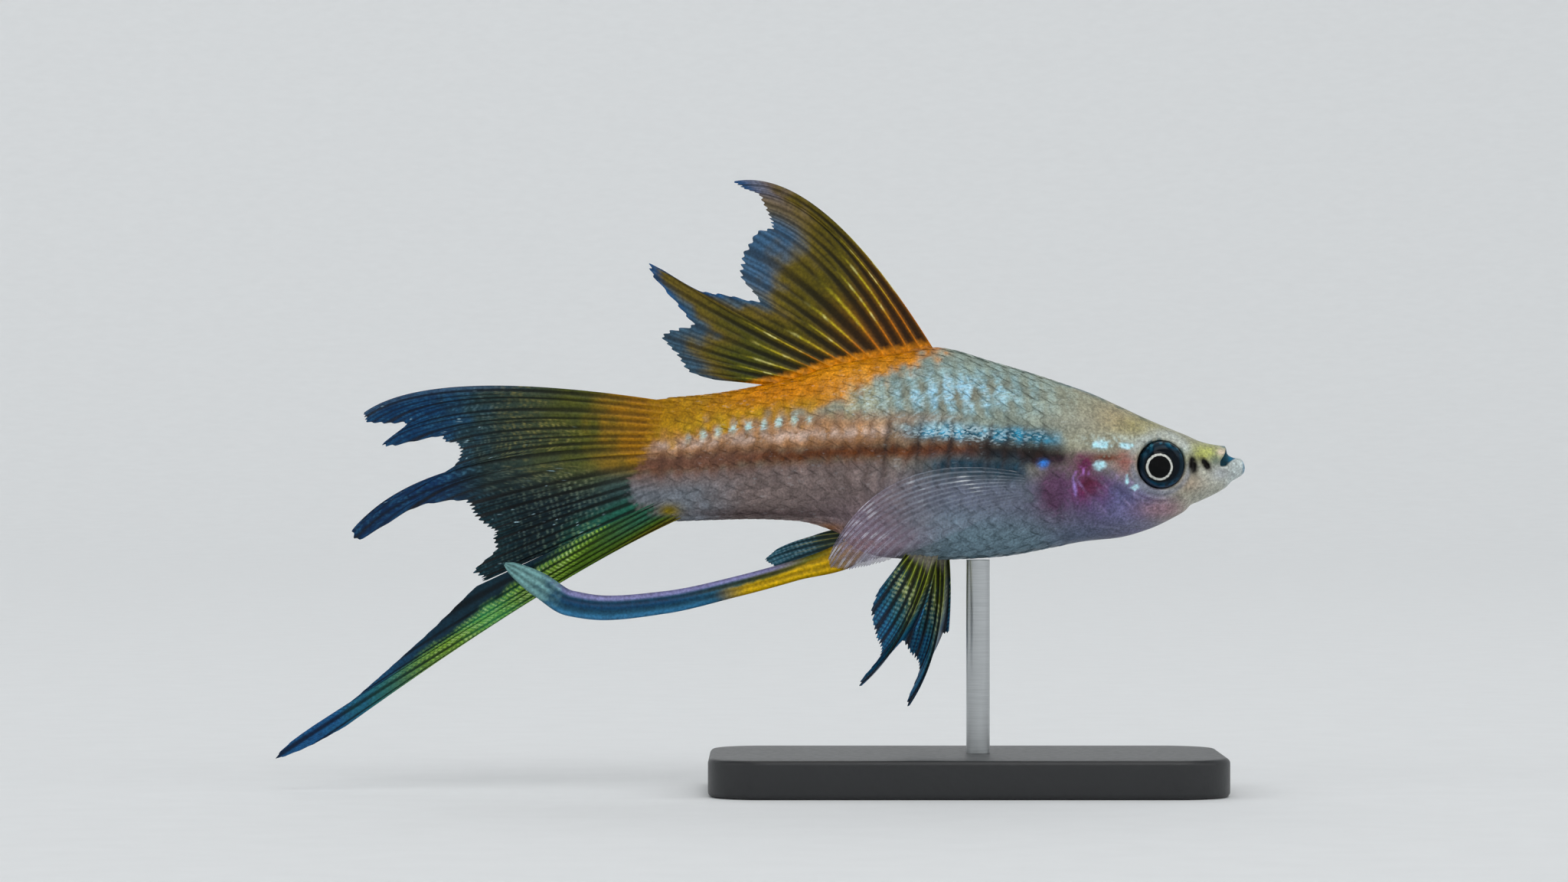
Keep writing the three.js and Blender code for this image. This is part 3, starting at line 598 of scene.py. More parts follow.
        # The pit of each nostril is painted nearly black: painted shade.
        coat("#0f0c0a", 2 * nostril(back, height, *shape, 1.1) * (0.45 + 0.9 * fine))
    # Fine speckle of pigment cells over everything.
    speck = 1 + 0.55 * (fine - 0.5) + 0.25 * (coarse - 0.5)
    return np.clip(colour * speck[..., None], 0, 1), np.clip(glint_and_gloss, 0, 1)


skin_colour, skin_gleam = paint_body(skin_back, skin_height, skin_points)
# Inside the mouth's slit the skin is teal, painted darker further in as painted shade in the mouth.
inside_mouth = np.clip(mouth_slit * 1.4, 0, 1)[..., None]
deep, rim = ramp(skin_back, 1.2, 1.9)[..., None], ramp(skin_back, 1.9, 1.2)[..., None]
mouth_teal_and_shade = linear("#0d4252") * deep + linear("#1f6f92") * rim
skin_colour = skin_colour * (1 - inside_mouth) + mouth_teal_and_shade * inside_mouth
skin_points, skin_colour, skin_gleam = capped(skin_points), held(skin_colour), held(skin_gleam)
unwrap_back = np.concatenate([[0], ring_back, [BODY_LENGTH + 0.4]])[:, None] / (BODY_LENGTH + 0.5)
skin_unwrap = pairs(np.linspace(0.002, 0.998, SKIN_SIDES), unwrap_back)

# Fine noise keeps nearly all its values between these two.
MOST_OF_NOISE = (0.3, 0.7)


def own_places(tree):
    """The places of a piece's points in its own frame, in metres."""
    return add_node(tree, "ShaderNodeTexCoord").outputs["Object"]


def painted(tree, name):
    """What was painted on a piece's points under a name, as a node's outputs."""
    return add_node(tree, "ShaderNodeAttribute", [("attribute_name", name)]).outputs


def spread(tree, value, to, start=(0, 1)):
    """A value's range, from start, stretched over another one and held inside it."""
    settings = list(zip(("From Min", "From Max", "To Min", "To Max"), (*start, *to)))
    return add_node(tree, "ShaderNodeMapRange", settings, [("Value", value)]).outputs[0]


def bumps(tree, height, strength, depth):
    """Bumps of a depth in metres that bend the light on a surface but not its shape."""
    settings = [("Strength", strength), ("Distance", depth)]
    return add_node(tree, "ShaderNodeBump", settings, [("Height", height)]).outputs[0]


def grained_pigment(tree, cells_per_metre, shades):
    """The painted colour, made darker and lighter within shades by fine noise, and the noise itself."""
    cells = noise(tree, cells_per_metre, 3.0, own_places(tree))
    settings = [("data_type", "RGBA"), ("blend_type", "MULTIPLY"), (0, 1.0)]
    shaded = spread(tree, cells, shades, MOST_OF_NOISE)
    links = [(6, painted(tree, "Pigment")["Color"]), (7, shaded)]
    return add_node(tree, "ShaderNodeMix", settings, links).outputs[2], cells


skin_paint, tree = new_material("lacquered_airbrush_skin")
# Airbrushed acrylic under satin lacquer. The paint has the grain of a fish's pigment cells, and pale flecks
# a seventh of a millimetre across are painted into its colour as glints, like the crystals in a live fish's
# skin; the lacquer is glossier where they are dense.
GLINT_FLECKS_PER_METRE = 7000
CELLS_PER_METRE = 5200
grained, cells = grained_pigment(tree, CELLS_PER_METRE, (0.68, 1.3))
glint_and_gloss = painted(tree, "Mica")["Fac"]
drawn_out = [("Scale", (0.45, 1.0, 1.0))]
lengthwise = add_node(tree, "ShaderNodeMapping", drawn_out, [("Vector", own_places(tree))])
fleck_places = [("Vector", lengthwise.outputs[0])]
glint_flecks = add_node(tree, "ShaderNodeTexVoronoi", [("Scale", GLINT_FLECKS_PER_METRE)], fleck_places)
fleck_chance = add_node(tree, "ShaderNodeSeparateColor", links=[(0, glint_flecks.outputs["Color"])])
chance_and_glint = [(0, fleck_chance.outputs[0]), (1, glint_and_gloss)]
summed = add_node(tree, "ShaderNodeMath", [("operation", "ADD")], chance_and_glint)
# Pale flecks are mixed into the colour here as painted glints, densest where more glint was painted on the
# points.
painted_glint = spread(tree, summed.outputs[0], (0.0, 0.6), (1.0, 1.6))
glint_colour = [("data_type", "RGBA"), (7, (*linear("#d9f2fa"), 1))]
flecked = add_node(tree, "ShaderNodeMix", glint_colour, [(0, painted_glint), (6, grained)])
gloss, pores = spread(tree, glint_and_gloss, (0.45, 0.3)), bumps(tree, cells, 0.3, 0.00004)
surface(
    tree,
    [("IOR", 1.36), ("Specular IOR Level", 0.28)],
    [("Base Color", flecked.outputs[2]), ("Roughness", gloss), ("Normal", pores)],
)

body_skin = new_piece(
    "body_skin",
    skin_points,
    grid_faces(len(ring_back) + 2, SKIN_SIDES, wrap=True, turned=True),
    skin_paint,
    unwrap=skin_unwrap,
    Pigment=skin_colour.reshape(-1, 3),
    Mica=skin_gleam.ravel(),
)
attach(body_skin, "root")
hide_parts("head", "torso", "tail_stalk")

# Scales
# Thin overlapping plates in staggered rows over trunk, nape and tail stalk, each cast on the skin with its
# front edge sunk and its round hind edge raised. They carry the same paint as the skin.
SCALE_STEP = 1.66
SCALE_ROWS = 32
SCALE_COLUMNS = 30
FIRST_SCALE = 8.2
LAST_SCALE = 53.6
SCALE_LENGTH = 2.1
SCALE_ALONG = 7
SCALE_ACROSS = 7

column, row = np.meshgrid(np.arange(SCALE_COLUMNS), np.arange(SCALE_ROWS), indexing="ij")
scale_back = (FIRST_SCALE + SCALE_STEP * (column + 0.5 * (row % 2))).ravel()
scale_turn = (2 * np.pi * (row + 0.5) / SCALE_ROWS).ravel()
scale_height, _ = body_surface(scale_back, scale_turn, 0)
behind_gill = gill_distance(scale_back, scale_height) > 0.75
on_nape = (scale_height > 2.7 + 0.12 * (14 - scale_back)) & (scale_back > 9.3)
kept = (behind_gill | on_nape) & (scale_back < LAST_SCALE)
scale_back, scale_turn = scale_back[kept][:, None, None], scale_turn[kept][:, None, None]
chance = np.random.default_rng(11).random((len(scale_back), 4))
share = np.linspace(0, 1, SCALE_ALONG)[None, :, None]
aside = np.linspace(-1, 1, SCALE_ACROSS)[None, None, :]
small = np.interp(scale_back, [9, 13, 46, 54], [0.8, 1, 1, 0.8])
flat_back = scale_back + SCALE_LENGTH * small * (share - 0.42 - 0.42 * aside**2 * share)
flat_turn = scale_turn + np.pi / SCALE_ROWS * 1.12 * aside * (0.75 + 0.25 * np.sin(np.pi * share))
lip = np.where(share >= 1, -0.09, 0)
strong = ramp(scale_back, 10, 22)
raised = -SCALE_DEPTH - 0.07 + (0.12 + 0.04 * strong) * share + 0.04 * (1 - aside**2) + lip
flat_back = np.where(share >= 1, flat_back - 0.03, flat_back)
scale_z, scale_y = body_surface(flat_back, flat_turn, raised)
scale_points = place(flat_back, scale_z, scale_y)
scale_colour, scale_gleam = paint_body(flat_back, scale_z, scale_points)
tone = 1 + (0.12 + 0.16 * strong) * (chance[:, :1, None] - 0.5)
hind_edge = ramp(share, 0.72, 1) * np.ones_like(aside)
# Each scale's middle is painted lighter and gets more glint and gloss, as a painted sheen. Its hind edge is
# painted darker.
centre = bell(share - 0.62, 0.22) * (1 - aside**2)
tone = tone * (1 - 0.2 * strong * hind_edge) * (1 + 0.12 * strong * centre)
scale_colour = np.clip(scale_colour * tone[..., None], 0, 1)
scale_gleam = np.clip(scale_gleam + 0.08 * centre + 0.06 * chance[:, 1:2, None], 0, 1)
patch_share = pairs(share, aside * 0.5 + 0.5)
root_place = np.stack([scale_turn / (2 * np.pi), scale_back / BODY_LENGTH], axis=-1)
scale_unwrap = root_place * 0.99 + (patch_share - 0.5) * 0.003 + 0.004
one_scale = grid_faces(SCALE_ALONG, SCALE_ACROSS, turned=True)
scale_faces = one_scale[None] + np.arange(len(scale_back))[:, None, None] * SCALE_ALONG * SCALE_ACROSS
scales = new_piece(
    "scales",
    scale_points,
    scale_faces.reshape(-1, 4),
    skin_paint,
    unwrap=np.broadcast_to(scale_unwrap, (*scale_z.shape, 2)),
    Pigment=scale_colour.reshape(-1, 3),
    Mica=scale_gleam.ravel(),
)
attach(scales, "root")

# Dorsal fin
# A high pennant of thin cast resin on fourteen rays. Its rays are raised on both faces, jointed, and
# forked towards the edge, where they stand out of the membrane. It is rooted in the ridge of the back.
DORSAL = dict(
    rays=14, columns=24, rows=90,
    root=[[0, 28.4, 9.2], [0.5, 35.9, 8.5], [1, 42.6, 6.5]],
    margin=[
        [0, 47.8, 25.9], [0.06, 46.9, 25.3], [0.12, 45.4, 24.8], [0.2, 44.5, 22.9],
        [0.27, 44.1, 21.6], [0.3, 45.5, 21.4], [0.36, 46.9, 19.2], [0.43, 47.2, 17.1],
        [0.5, 45.1, 14.6], [0.54, 48.6, 15.4], [0.58, 51.1, 15.7], [0.62, 55.7, 18.5],
        [0.66, 55.5, 17.3], [0.69, 53.3, 14.8], [0.74, 51.4, 12.4], [0.77, 53.4, 12.2],
        [0.81, 54.6, 11.5], [0.88, 52.9, 9.6], [0.93, 52.1, 8.2], [0.97, 49.7, 7.4],
        [1, 46.2, 7.15],
    ],
    bow=[
        [0, 0.8, 0.265], [0.25, 0.7, 0.14], [0.5, 0.6, 0.03], [0.62, 0.6, -0.04],
        [0.85, 0.6, -0.02], [1, 0.6, 0.02],
    ],
    forks=(0.36, 0.66), webs=(0.33, 0.13), joint=0.5, comb=0.7, membrane=0.08, ray_height=0.15,
)


def columns_at(rows, at):
    """A table's columns at positions in its first one, on straight lines."""
    table = np.array(rows, dtype=float)
    return [np.interp(at, table[:, 0], table[:, k]) for k in range(1, table.shape[1])]


def soften(values, width):
    """A running mean along the first axis, with the ends held."""
    window = np.ones(2 * width + 1) / (2 * width + 1)
    padded = np.concatenate([np.full(width, values[0]), values, np.full(width, values[-1])])
    softened = np.convolve(padded, window, mode="valid")
    softened[[0, -1]] = values[[0, -1]]
    return softened


def fin_surface(fin):
    """The sheet of a fin on a grid: ray position, share of its length, back, height, ray, core and joints.

    Each ray is a quadratic curve from the root line to the margin, bowed off its chord. Webs are bells
    midway between rays, wide at the root and narrow outwards, and again in the forks of each ray; what
    they leave is ray. The core is a bell on each unforked ray, and joints are short waves along it. The
    margin steps back like a comb between the tips of the branches.
    """
    count = (fin["rays"] - 1) * fin["columns"] + 1
    ray = np.linspace(0, 1, count)
    root_back, root_height = columns_at(fin["root"], ray)
    tip_back, tip_height = [soften(values, 3) for values in columns_at(fin["margin"], ray)]
    reach, bow = columns_at(fin["bow"], ray)
    chord_back, chord_height = tip_back - root_back, tip_height - root_height
    length = np.hypot(chord_back, chord_height)
    bend_back = root_back + reach * chord_back - bow * chord_height
    bend_height = root_height + reach * chord_height + bow * chord_back
    phase = ray * (fin["rays"] - 1)
    random = np.random.default_rng(3).random(count // 5 + 2)
    uneven = np.interp(np.arange(count) / 5, np.arange(len(random)), random)
    comb = fin["comb"] * (0.25 + 0.75 * uneven) * (0.5 + 0.5 * np.cos(2 * np.pi * phase * 4))
    share = np.linspace(0, 1, fin["rows"])[:, None]
    along = share * (1 - comb / length)
    a, b, c = (1 - along) ** 2, 2 * along * (1 - along), along**2
    back = a * root_back + b * bend_back + c * tip_back
    height = a * root_height + b * bend_height + c * tip_height
    off = phase - np.round(phase) + 0.06 * np.sin(5 * phase) * ramp(share, 0.4, 1)
    root_web, outer_web = fin["webs"]
    first, second = fin["forks"]
    width = outer_web + (root_web - outer_web) * ramp(share, 0.6, 0.05)
    web = bell(0.5 - np.abs(off), width, 4)
    web = np.maximum(web, 0.9 * ramp(share, first, first + 0.22) * bell(off, 0.08))
    quarter = np.abs(off) - 0.25
    web = np.maximum(web, 0.7 * ramp(share, second, second + 0.2) * bell(quarter, 0.055))
    core = bell(off, 0.065) * ramp(share, first + 0.2, first - 0.05)
    joints = 0.5 + 0.5 * np.cos(2 * np.pi * along * length / fin["joint"])
    joints = joints * ramp(share, 0.2, 0.4)
    ray, share = np.broadcast_arrays(ray, share)
    return ray, share, back, height, 1 - web, core, joints


def build_fin(name, fin, aside, paint, material, *nodes):
    """A closed two-faced sheet with raised rays, painted point by point; aside bends it off its plane."""
    ray, share, back, height, ridge, core, joints = fin_surface(fin)
    left = aside(ray, share)
    thin = 1 - 0.7 * ramp(share, 0.5, 1)
    raised = np.clip(ridge * 0.7 + core * 0.5, 0, 1) * (1 - 0.25 * joints)
    half = (fin["membrane"] + fin["ray_height"] * raised) * thin + 0.14 * ramp(share, 0.22, 0)
    faces_out = place(back, height, left + half), place(back, height, left - half)
    colour, seen = paint(ray, share, back, height, ridge, core, joints, faces_out[1])
    rows, columns = back.shape
    size = rows * columns
    one = grid_faces(rows, columns)
    rim = np.concatenate(
        [
            np.arange(columns),
            np.arange(1, rows) * columns + columns - 1,
            (rows - 1) * columns + np.arange(columns - 2, -1, -1),
            np.arange(rows - 2, 0, -1) * columns,
        ]
    )
    after = np.roll(rim, -1)
    around = np.stack([rim, rim + size, after + size, after], axis=-1)
    unwrap = np.stack([np.concatenate([ray * 0.48, ray * 0.48 + 0.51]), np.tile(share, (2, 1))], axis=-1)
    piece = new_piece(
        name,
        np.stack(faces_out),
        np.concatenate([one, one[:, ::-1] + size, around]),
        material,
        unwrap=unwrap,
        Pigment=np.tile(np.clip(colour, 0, 1).reshape(-1, 3), (2, 1)),
        Body=np.tile(np.broadcast_to(seen, back.shape).ravel(), 2),
    )
    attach(piece, "root")
    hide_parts(*nodes)
    return piece


def paint_dorsal(ray, share, back, height, ridge, core, joints, points):
    """Olive rays, orange and then yellow along their cores, greyer outwards and blue at the lobes."""
    fine, coarse = grain(points, 0.22, 5), grain(points, 0.9, 25)
    out = share + 0.16 * (coarse - 0.5)
    second_lobe = np.abs(ray - 0.62)
    colour = coats(
        "#5f5409",
        ("#7d4d05", ramp(share, 0.5, 0.12) * ramp(ray, 0.75, 0.2)),
        ("#4f5510", 0.8 * ramp(ray, 0.5, 0.8) * ramp(share, 0.2, 0.4)),
        ("#73601e", 0.9 * ramp(out, 0.5, 0.78)),
        ("#83726a", 0.9 * ramp(ray, 0.24, 0.06) * ramp(out, 0.66, 0.84)),
        ("#3a6488", 0.95 * ramp(out, 0.62, 0.9) * ramp(ray, 0.14, 0.26) * ramp(ray, 0.5, 0.42)),
        ("#38607c", 0.9 * ramp(out, 0.7, 0.95) * ramp(ray, 0.44, 0.5) * ramp(second_lobe, 0.02, 0.07)),
        ("#7d86a0", 0.9 * ramp(share, 0.8, 0.9) * ramp(ray, 0.16, 0.04)),
        ("#1c5b94", 0.9 * ramp(share, 0.9, 0.985) * ramp(np.minimum(ray, second_lobe), 0.14, 0.05)),
    )
    dark_web = 0.14 + 0.26 * ramp(share, 0.45, 0.8)
    colour = colour * (dark_web + 0.62 * ridge * (0.7 + 0.6 * fine))[..., None]
    colour = coats(colour, ("#d4790a", 0.9 * core * ramp(share, 0.42, 0.12) * ramp(ray, 0.9, 0.5)))
    yellow = core * ramp(share, 0.14, 0.24) * ramp(share, 0.62, 0.4) * (0.35 + 0.8 * fine)
    colour = coats(colour, ("#c9bb22", 0.95 * yellow), ("#e8e6a0", 0.8 * yellow * ramp(coarse, 0.6, 0.8)))
    body, _ = paint_body(back, height, points)
    over_back = height - smoothly(BODY, back)[..., 0]
    colour = coats(colour, (body, ramp(over_back + 0.3 * (fine - 0.5), 0.75, 0.2)))
    return colour, 1 - 0.1 * (1 - ridge) * ramp(share, 0.7, 1)


fin_resin, tree = new_material("clear_cast_fin_resin")
# Tinted clear resin, cast thin over the rays and polished: the colour is in it, the edges let light
# through, and it has a wet gloss.
FIN_CELLS_PER_METRE = 4200.0
grained, cells = grained_pigment(tree, FIN_CELLS_PER_METRE, (0.72, 1.32))
solid, ripple = painted(tree, "Body")["Fac"], bumps(tree, cells, 0.2, 0.00004)
surface(
    tree,
    [("Roughness", 0.38), ("IOR", 1.4), ("Specular IOR Level", 0.22)],
    [("Base Color", grained), ("Alpha", solid), ("Normal", ripple)],
)

build_fin(
    "dorsal_fin_cast",
    DORSAL,
    lambda ray, share: 0.7 * share**2 * np.sin(2.6 * np.pi * ray) + 0.05 * np.sin(40 * ray) * share,
    paint_dorsal,
    fin_resin,
    "dorsal_fin",
)

# Tail fin
# The lyre-shaped fan over the sword, on sixteen rays: two streamers above and a long one from its
# middle. It is cast and tinted as the dorsal fin is, and rooted in the end of the tail stalk.
TAIL = dict(
    rays=16, columns=22, rows=100,
    root=[[0, 53.2, 5.3], [0.5, 53.9, 0.9], [1, 53.4, -3.5]],
    margin=[
        [0, 82.3, 4.3], [0.06, 82.1, 3.4], [0.1, 79.9, 3.3], [0.13, 78, 3.4], [0.16, 80.1, 1.8],
        [0.19, 80.7, 1.3], [0.22, 79.9, 1.1], [0.26, 75.1, 2.2], [0.29, 74.7, 1.6],
        [0.33, 73.5, 1.5], [0.38, 73.2, 0.6], [0.43, 73.6, -0.5], [0.46, 75.9, -2.1],
        [0.5, 83.4, -6.4], [0.54, 82.9, -7.9], [0.57, 77.7, -4.6], [0.59, 75.9, -4.1],
        [0.61, 72.9, -3.8], [0.64, 72.3, -4.3], [0.69, 71.9, -5.3], [0.74, 70.7, -6.3],
        [0.78, 69.9, -6.7], [0.82, 70.2, -7.3], [0.87, 69.9, -8.5], [0.92, 72.3, -10.6],
        [0.95, 71.3, -11.0], [1, 71.2, -11.5],
    ],
    bow=[
        [0, 0.78, 0.15], [0.2, 0.8, 0.15], [0.34, 0.7, 0.05], [0.44, 0.7, 0.1], [0.5, 0.72, 0.2],
        [0.56, 0.72, 0.18], [0.63, 0.6, 0.03], [1, 0.6, 0],
    ],
    forks=(0.3, 0.58), webs=(0.3, 0.12), joint=0.5, comb=0.7, membrane=0.08, ray_height=0.14,
)


def paint_tail(ray, share, back, height, ridge, core, joints, points):
    """Orange at the upper root, olive and green in the middle, and blue-black webs with blue streamers."""
    fine, coarse = grain(points, 0.22, 6), grain(points, 0.9, 26)
    far = back + 3 * (coarse - 0.5)
    upper = ramp(height, -4.5, 1)
    colour = coats(
        "#0d2730",
        ("#35463a", upper * ramp(far, 74, 67)),
        ("#55591a", upper * ramp(far, 68.5, 61)),
        ("#9a6a06", ramp(height, -3, 1.2) * ramp(far, 62.5, 56.5)),
        ("#3b5a5c", 0.7 * ramp(height, -0.5, -2.5) * ramp(far, 64, 57)),
        ("#23705a", 0.9 * ramp(ray, 0.8, 0.94) * ramp(far, 66, 58)),
        ("#2a4b50", 0.7 * ramp(far, 68, 73) * ramp(ray, 0.6, 0.4)),
        ("#08406e", ramp(far, 70.5, 77) * ramp(ray, 0.5, 0.3)),
        ("#073664", ramp(back, 71, 76) * ramp(ray, 0.36, 0.46)),
        ("#0a3a44", 0.6 * ramp(ray, 0.55, 0.8) * ramp(back, 66, 70)),
        ("#4e6a8a", 0.6 * ramp(ray, 0.06, 0.01) * ramp(share, 0.3, 0.5)),
    )
    dark_web = 0.1 + 0.1 * upper + 0.4 * upper * ramp(far, 64, 57)
    colour = colour * (dark_web + 0.66 * ridge * (0.7 + 0.6 * fine))[..., None]
    pale = ridge * ramp(joints, 0.45, 0.95) * ramp(fine, 0.35, 0.7)
    colour = coats(
        colour,
        ("#a59a4e", 0.6 * pale * upper * ramp(far, 75, 64)),
        ("#8fa894", 0.3 * pale * ramp(height, 0, -3) * ramp(far, 74, 64)),
        ("#3f86a8", 0.35 * pale * ramp(far, 68, 74)),
        ("#86b060", 0.55 * pale * ramp(ray, 0.86, 0.97) * ramp(far, 67, 60)),
    )
    # Rare pale specks on the outer rays: painted glints.
    painted_glint = ramp(grain(points, 0.24, 9), 0.93, 0.98) * ramp(share, 0.25, 0.45)
    colour = coats(colour, ("#b5dcea", 0.85 * painted_glint))
    body, _ = paint_body(np.minimum(back, PAINT_END), height, points)
    lobe = 55.1 + 1.9 * bell(height + 2.6, 2.4)
    colour = coats(colour, (body, ramp(back + 1.2 * (fine - 0.5), lobe + 0.9, lobe)))
    return colour, 1 - 0.12 * (1 - ridge) * ramp(share, 0.65, 1)


build_fin(
    "tail_fin_cast",
    TAIL,
    lambda ray, share: 0.9 * share**2 * np.sin(2.2 * np.pi * ray + 0.6) + 0.05 * np.sin(45 * ray) * share,
    paint_tail,
    fin_resin,
    "tail_fin",
)

# Sword
# The lowest rays of the tail, drawn out to a point twice as long as the fan. Seven stout jointed rays make
# a green and yellow blade, with a dark web over it and a blue tip.
SWORD = dict(
    rays=7, columns=16, rows=190,
    root=[[0, 53.5, -3.3], [1, 52.6, -5.5]],
    margin=[
        [0, 71.8, -11.9], [0.15, 76.4, -16.4], [0.3, 80.3, -19.9], [0.45, 83.5, -22.7],
        [0.6, 87, -24.9], [0.7, 89.4, -26.6], [0.77, 91.0, -28.3], [0.88, 87.4, -26.9],
        [1, 84, -25],
    ],
    bow=[[0, 0.5, 0.0], [0.2, 0.5, 0.03], [0.75, 0.4, 0.015], [1, 0.36, 0.045]],
    forks=(1.3, 1.6), webs=(0.2, 0.16), joint=0.43, comb=0.3, membrane=0.09, ray_height=0.2,
)


def paint_sword(ray, share, back, height, ridge, core, joints, points):
    """A yellow-green blade low down with beaded rays, a dark blue web above, and a blue tip."""
    fine, coarse = grain(points, 0.22, 7), grain(points, 0.9, 27)
    low = np.interp(back, [54, 62, 70, 82], [-0.4, -0.15, 0.18, 0.45])
    blade = ramp(ray + 0.12 * (coarse - 0.5), low, low + 0.22)
    bead = ridge * ramp(joints, 0.35, 0.8)
    colour = coats(
        "#0a2a38",
        ("#0b3a5c", 0.8 * ramp(back, 72, 82)),
        ("#22603c", blade * ramp(back, 84, 76)),
        ("#4c6c14", 0.95 * blade * ramp(ray, low + 0.12, low + 0.4) * ramp(back, 82, 73)),
        ("#226456", 0.85 * blade * ramp(back, 62, 55) * ramp(ray, 0.75, 0.3)),
        ("#6a5c12", 0.9 * ramp(ray, 0.6, 0.95) * ramp(back, 62, 55)),
        ("#1c4a26", 0.75 * ramp(ray, 0.7, 0.95) * ramp(back, 64, 68)),
        ("#1f6a62", 0.8 * blade * ramp(back, 74, 82)),
        ("#083c6c", ramp(back + 2 * (coarse - 0.5), 80, 86)),
    )
    colour = colour * (0.25 + 0.65 * ridge * (0.7 + 0.6 * fine))[..., None]
    colour = coats(
        colour,
        ("#9cc844", 0.85 * bead * blade * ramp(back, 82, 74)),
        ("#d5e6a4", 0.8 * bead * ramp(joints, 0.75, 1) * blade * ramp(back, 80, 70) * ramp(fine, 0.3, 0.7)),
        ("#46c07a", 0.35 * blade * spot(back, height, 70.5, -14.5, 4, 2)),
        ("#2f7fb8", 0.45 * bead * ramp(back, 76, 84)),
    )
    body, _ = paint_body(np.minimum(back, PAINT_END), height, points)
    colour = coats(colour, (body, ramp(back + 1.2 * (fine - 0.5), 56, 54.6) * ramp(height, -5.6, -4.9)))
    return colour, np.ones_like(ridge)


build_fin("tail_sword_cast", SWORD, lambda ray, share: 0.5 * share**2, paint_sword, fin_resin, "tail_sword")

# Pelvic fins
# A pair under the belly, splayed outwards, each of eight rays with the second drawn out to a streamer. The
# left one is swung forward and held a little longer than the right one.
PELVIC = dict(
    rays=8, columns=20, rows=80,
    root=[[0, 28.6, -8.6], [1, 31.4, -8.5]],
    margin=[
        [0, 30.7, -15.9], [0.08, 31.3, -15.9], [0.16, 36.1, -21.3], [0.24, 36, -20.5],
        [0.34, 34.2, -18.4], [0.45, 34, -17.6], [0.6, 34.5, -16.5], [0.8, 35, -14.1],
        [0.9, 34.4, -12.3], [1, 32.9, -10.6],
    ],
    bow=[[0, 0.5, -0.05], [0.2, 0.62, -0.18], [1, 0.5, 0.05]],
    forks=(0.5, 0.8), webs=(0.3, 0.2), joint=0.42, comb=0.5, membrane=0.08, ray_height=0.16,
)
PELVIC_ROOT = (30, -8.55)
# Each pose: how far the fin is swung in radians, moved back in millimetres, and stretched.
PELVIC_POSES = {"right": (0, 0, 1), "left": (-0.3, -0.9, 1.08)}


def posed(rows, swing, shift, stretch):
    """The fin's lines swung about the middle of its root in side view, moved and stretched."""
    table = np.array(rows, dtype=float)
    root_back, root_height = PELVIC_ROOT
    back, height = table[:, 1] - root_back, table[:, 2] - root_height
    table[:, 1] = root_back + shift + stretch * (np.cos(swing) * back - np.sin(swing) * height)
    table[:, 2] = root_height + stretch * (np.sin(swing) * back + np.cos(swing) * height)
    return table


def paint_pelvic(ray, share, back, height, ridge, core, joints, points):
    """Beaded yellow-green rays on a dark teal web, blue towards the streamer's tip."""
    fine, coarse = grain(points, 0.22, 8), grain(points, 0.9, 28)
    bead = ridge * ramp(joints, 0.3, 0.8)
    colour = coats(
        "#14505a",
        ("#5f6a1e", ramp(share + 0.3 * (coarse - 0.5), 0.5, 0.2)),
        ("#0d4f84", ramp(share + 0.2 * (coarse - 0.5), 0.6, 0.85)),
    )
    colour = colour * (0.12 + 0.7 * ridge * (0.7 + 0.6 * fine))[..., None]
    colour = coats(
        colour,
        ("#b9c848", 0.85 * core * ramp(share, 0.62, 0.2)),
        ("#dfe9a8", 0.75 * bead * ramp(share, 0.15, 0.3) * ramp(share, 0.75, 0.4) * ramp(fine, 0.3, 0.7)),
        ("#3f9cbc", 0.6 * bead * ramp(share, 0.45, 0.7)),
        ("#8a8578", 0.9 * ramp(share, 0.15, 0.05)),
    )
    return colour, 1 - 0.12 * (1 - ridge) * ramp(share, 0.4, 1)


for side, (swing, shift, stretch) in PELVIC_POSES.items():
    way = -1 if side == "right" else 1
    lines = {key: posed(PELVIC[key], swing, shift, stretch) for key in ("root", "margin")}
    build_fin(
        f"pelvic_fin_{side}_cast",
        PELVIC | lines,
        lambda ray, share, way=way: way * (0.9 + 3.4 * share * (1 - 0.5 * ray) + 0.5 * share**2),
        paint_pelvic,
        fin_resin,
        f"pelvic_fin_{side}",
    )

# Pectoral fins
# Long clear fans, laid back along the flanks and bowed down at their tips. Their webs are nearly as clear
# as glass, so the flank shows through, with fine pale rays that carry painted highlights in short white
# dashes.
PECTORAL = dict(
    rays=14, columns=12, rows=80,
    root=[[0, 19.3, -1.6], [1, 19.9, -3.9]],
    margin=[
        [0, 38.5, -8], [0.12, 39, -9.2], [0.3, 38.8, -10], [0.5, 37.2, -10.2], [0.7, 34.4, -9.6],
        [0.85, 30.8, -8.4], [1, 26.6, -6.6],
    ],
    bow=[[0, 0.6, 0.38], [0.5, 0.6, 0.26], [1, 0.6, 0.1]],
    forks=(0.42, 0.75), webs=(0.4, 0.36), joint=0.8, comb=0.5, membrane=0.05, ray_height=0.06,
)


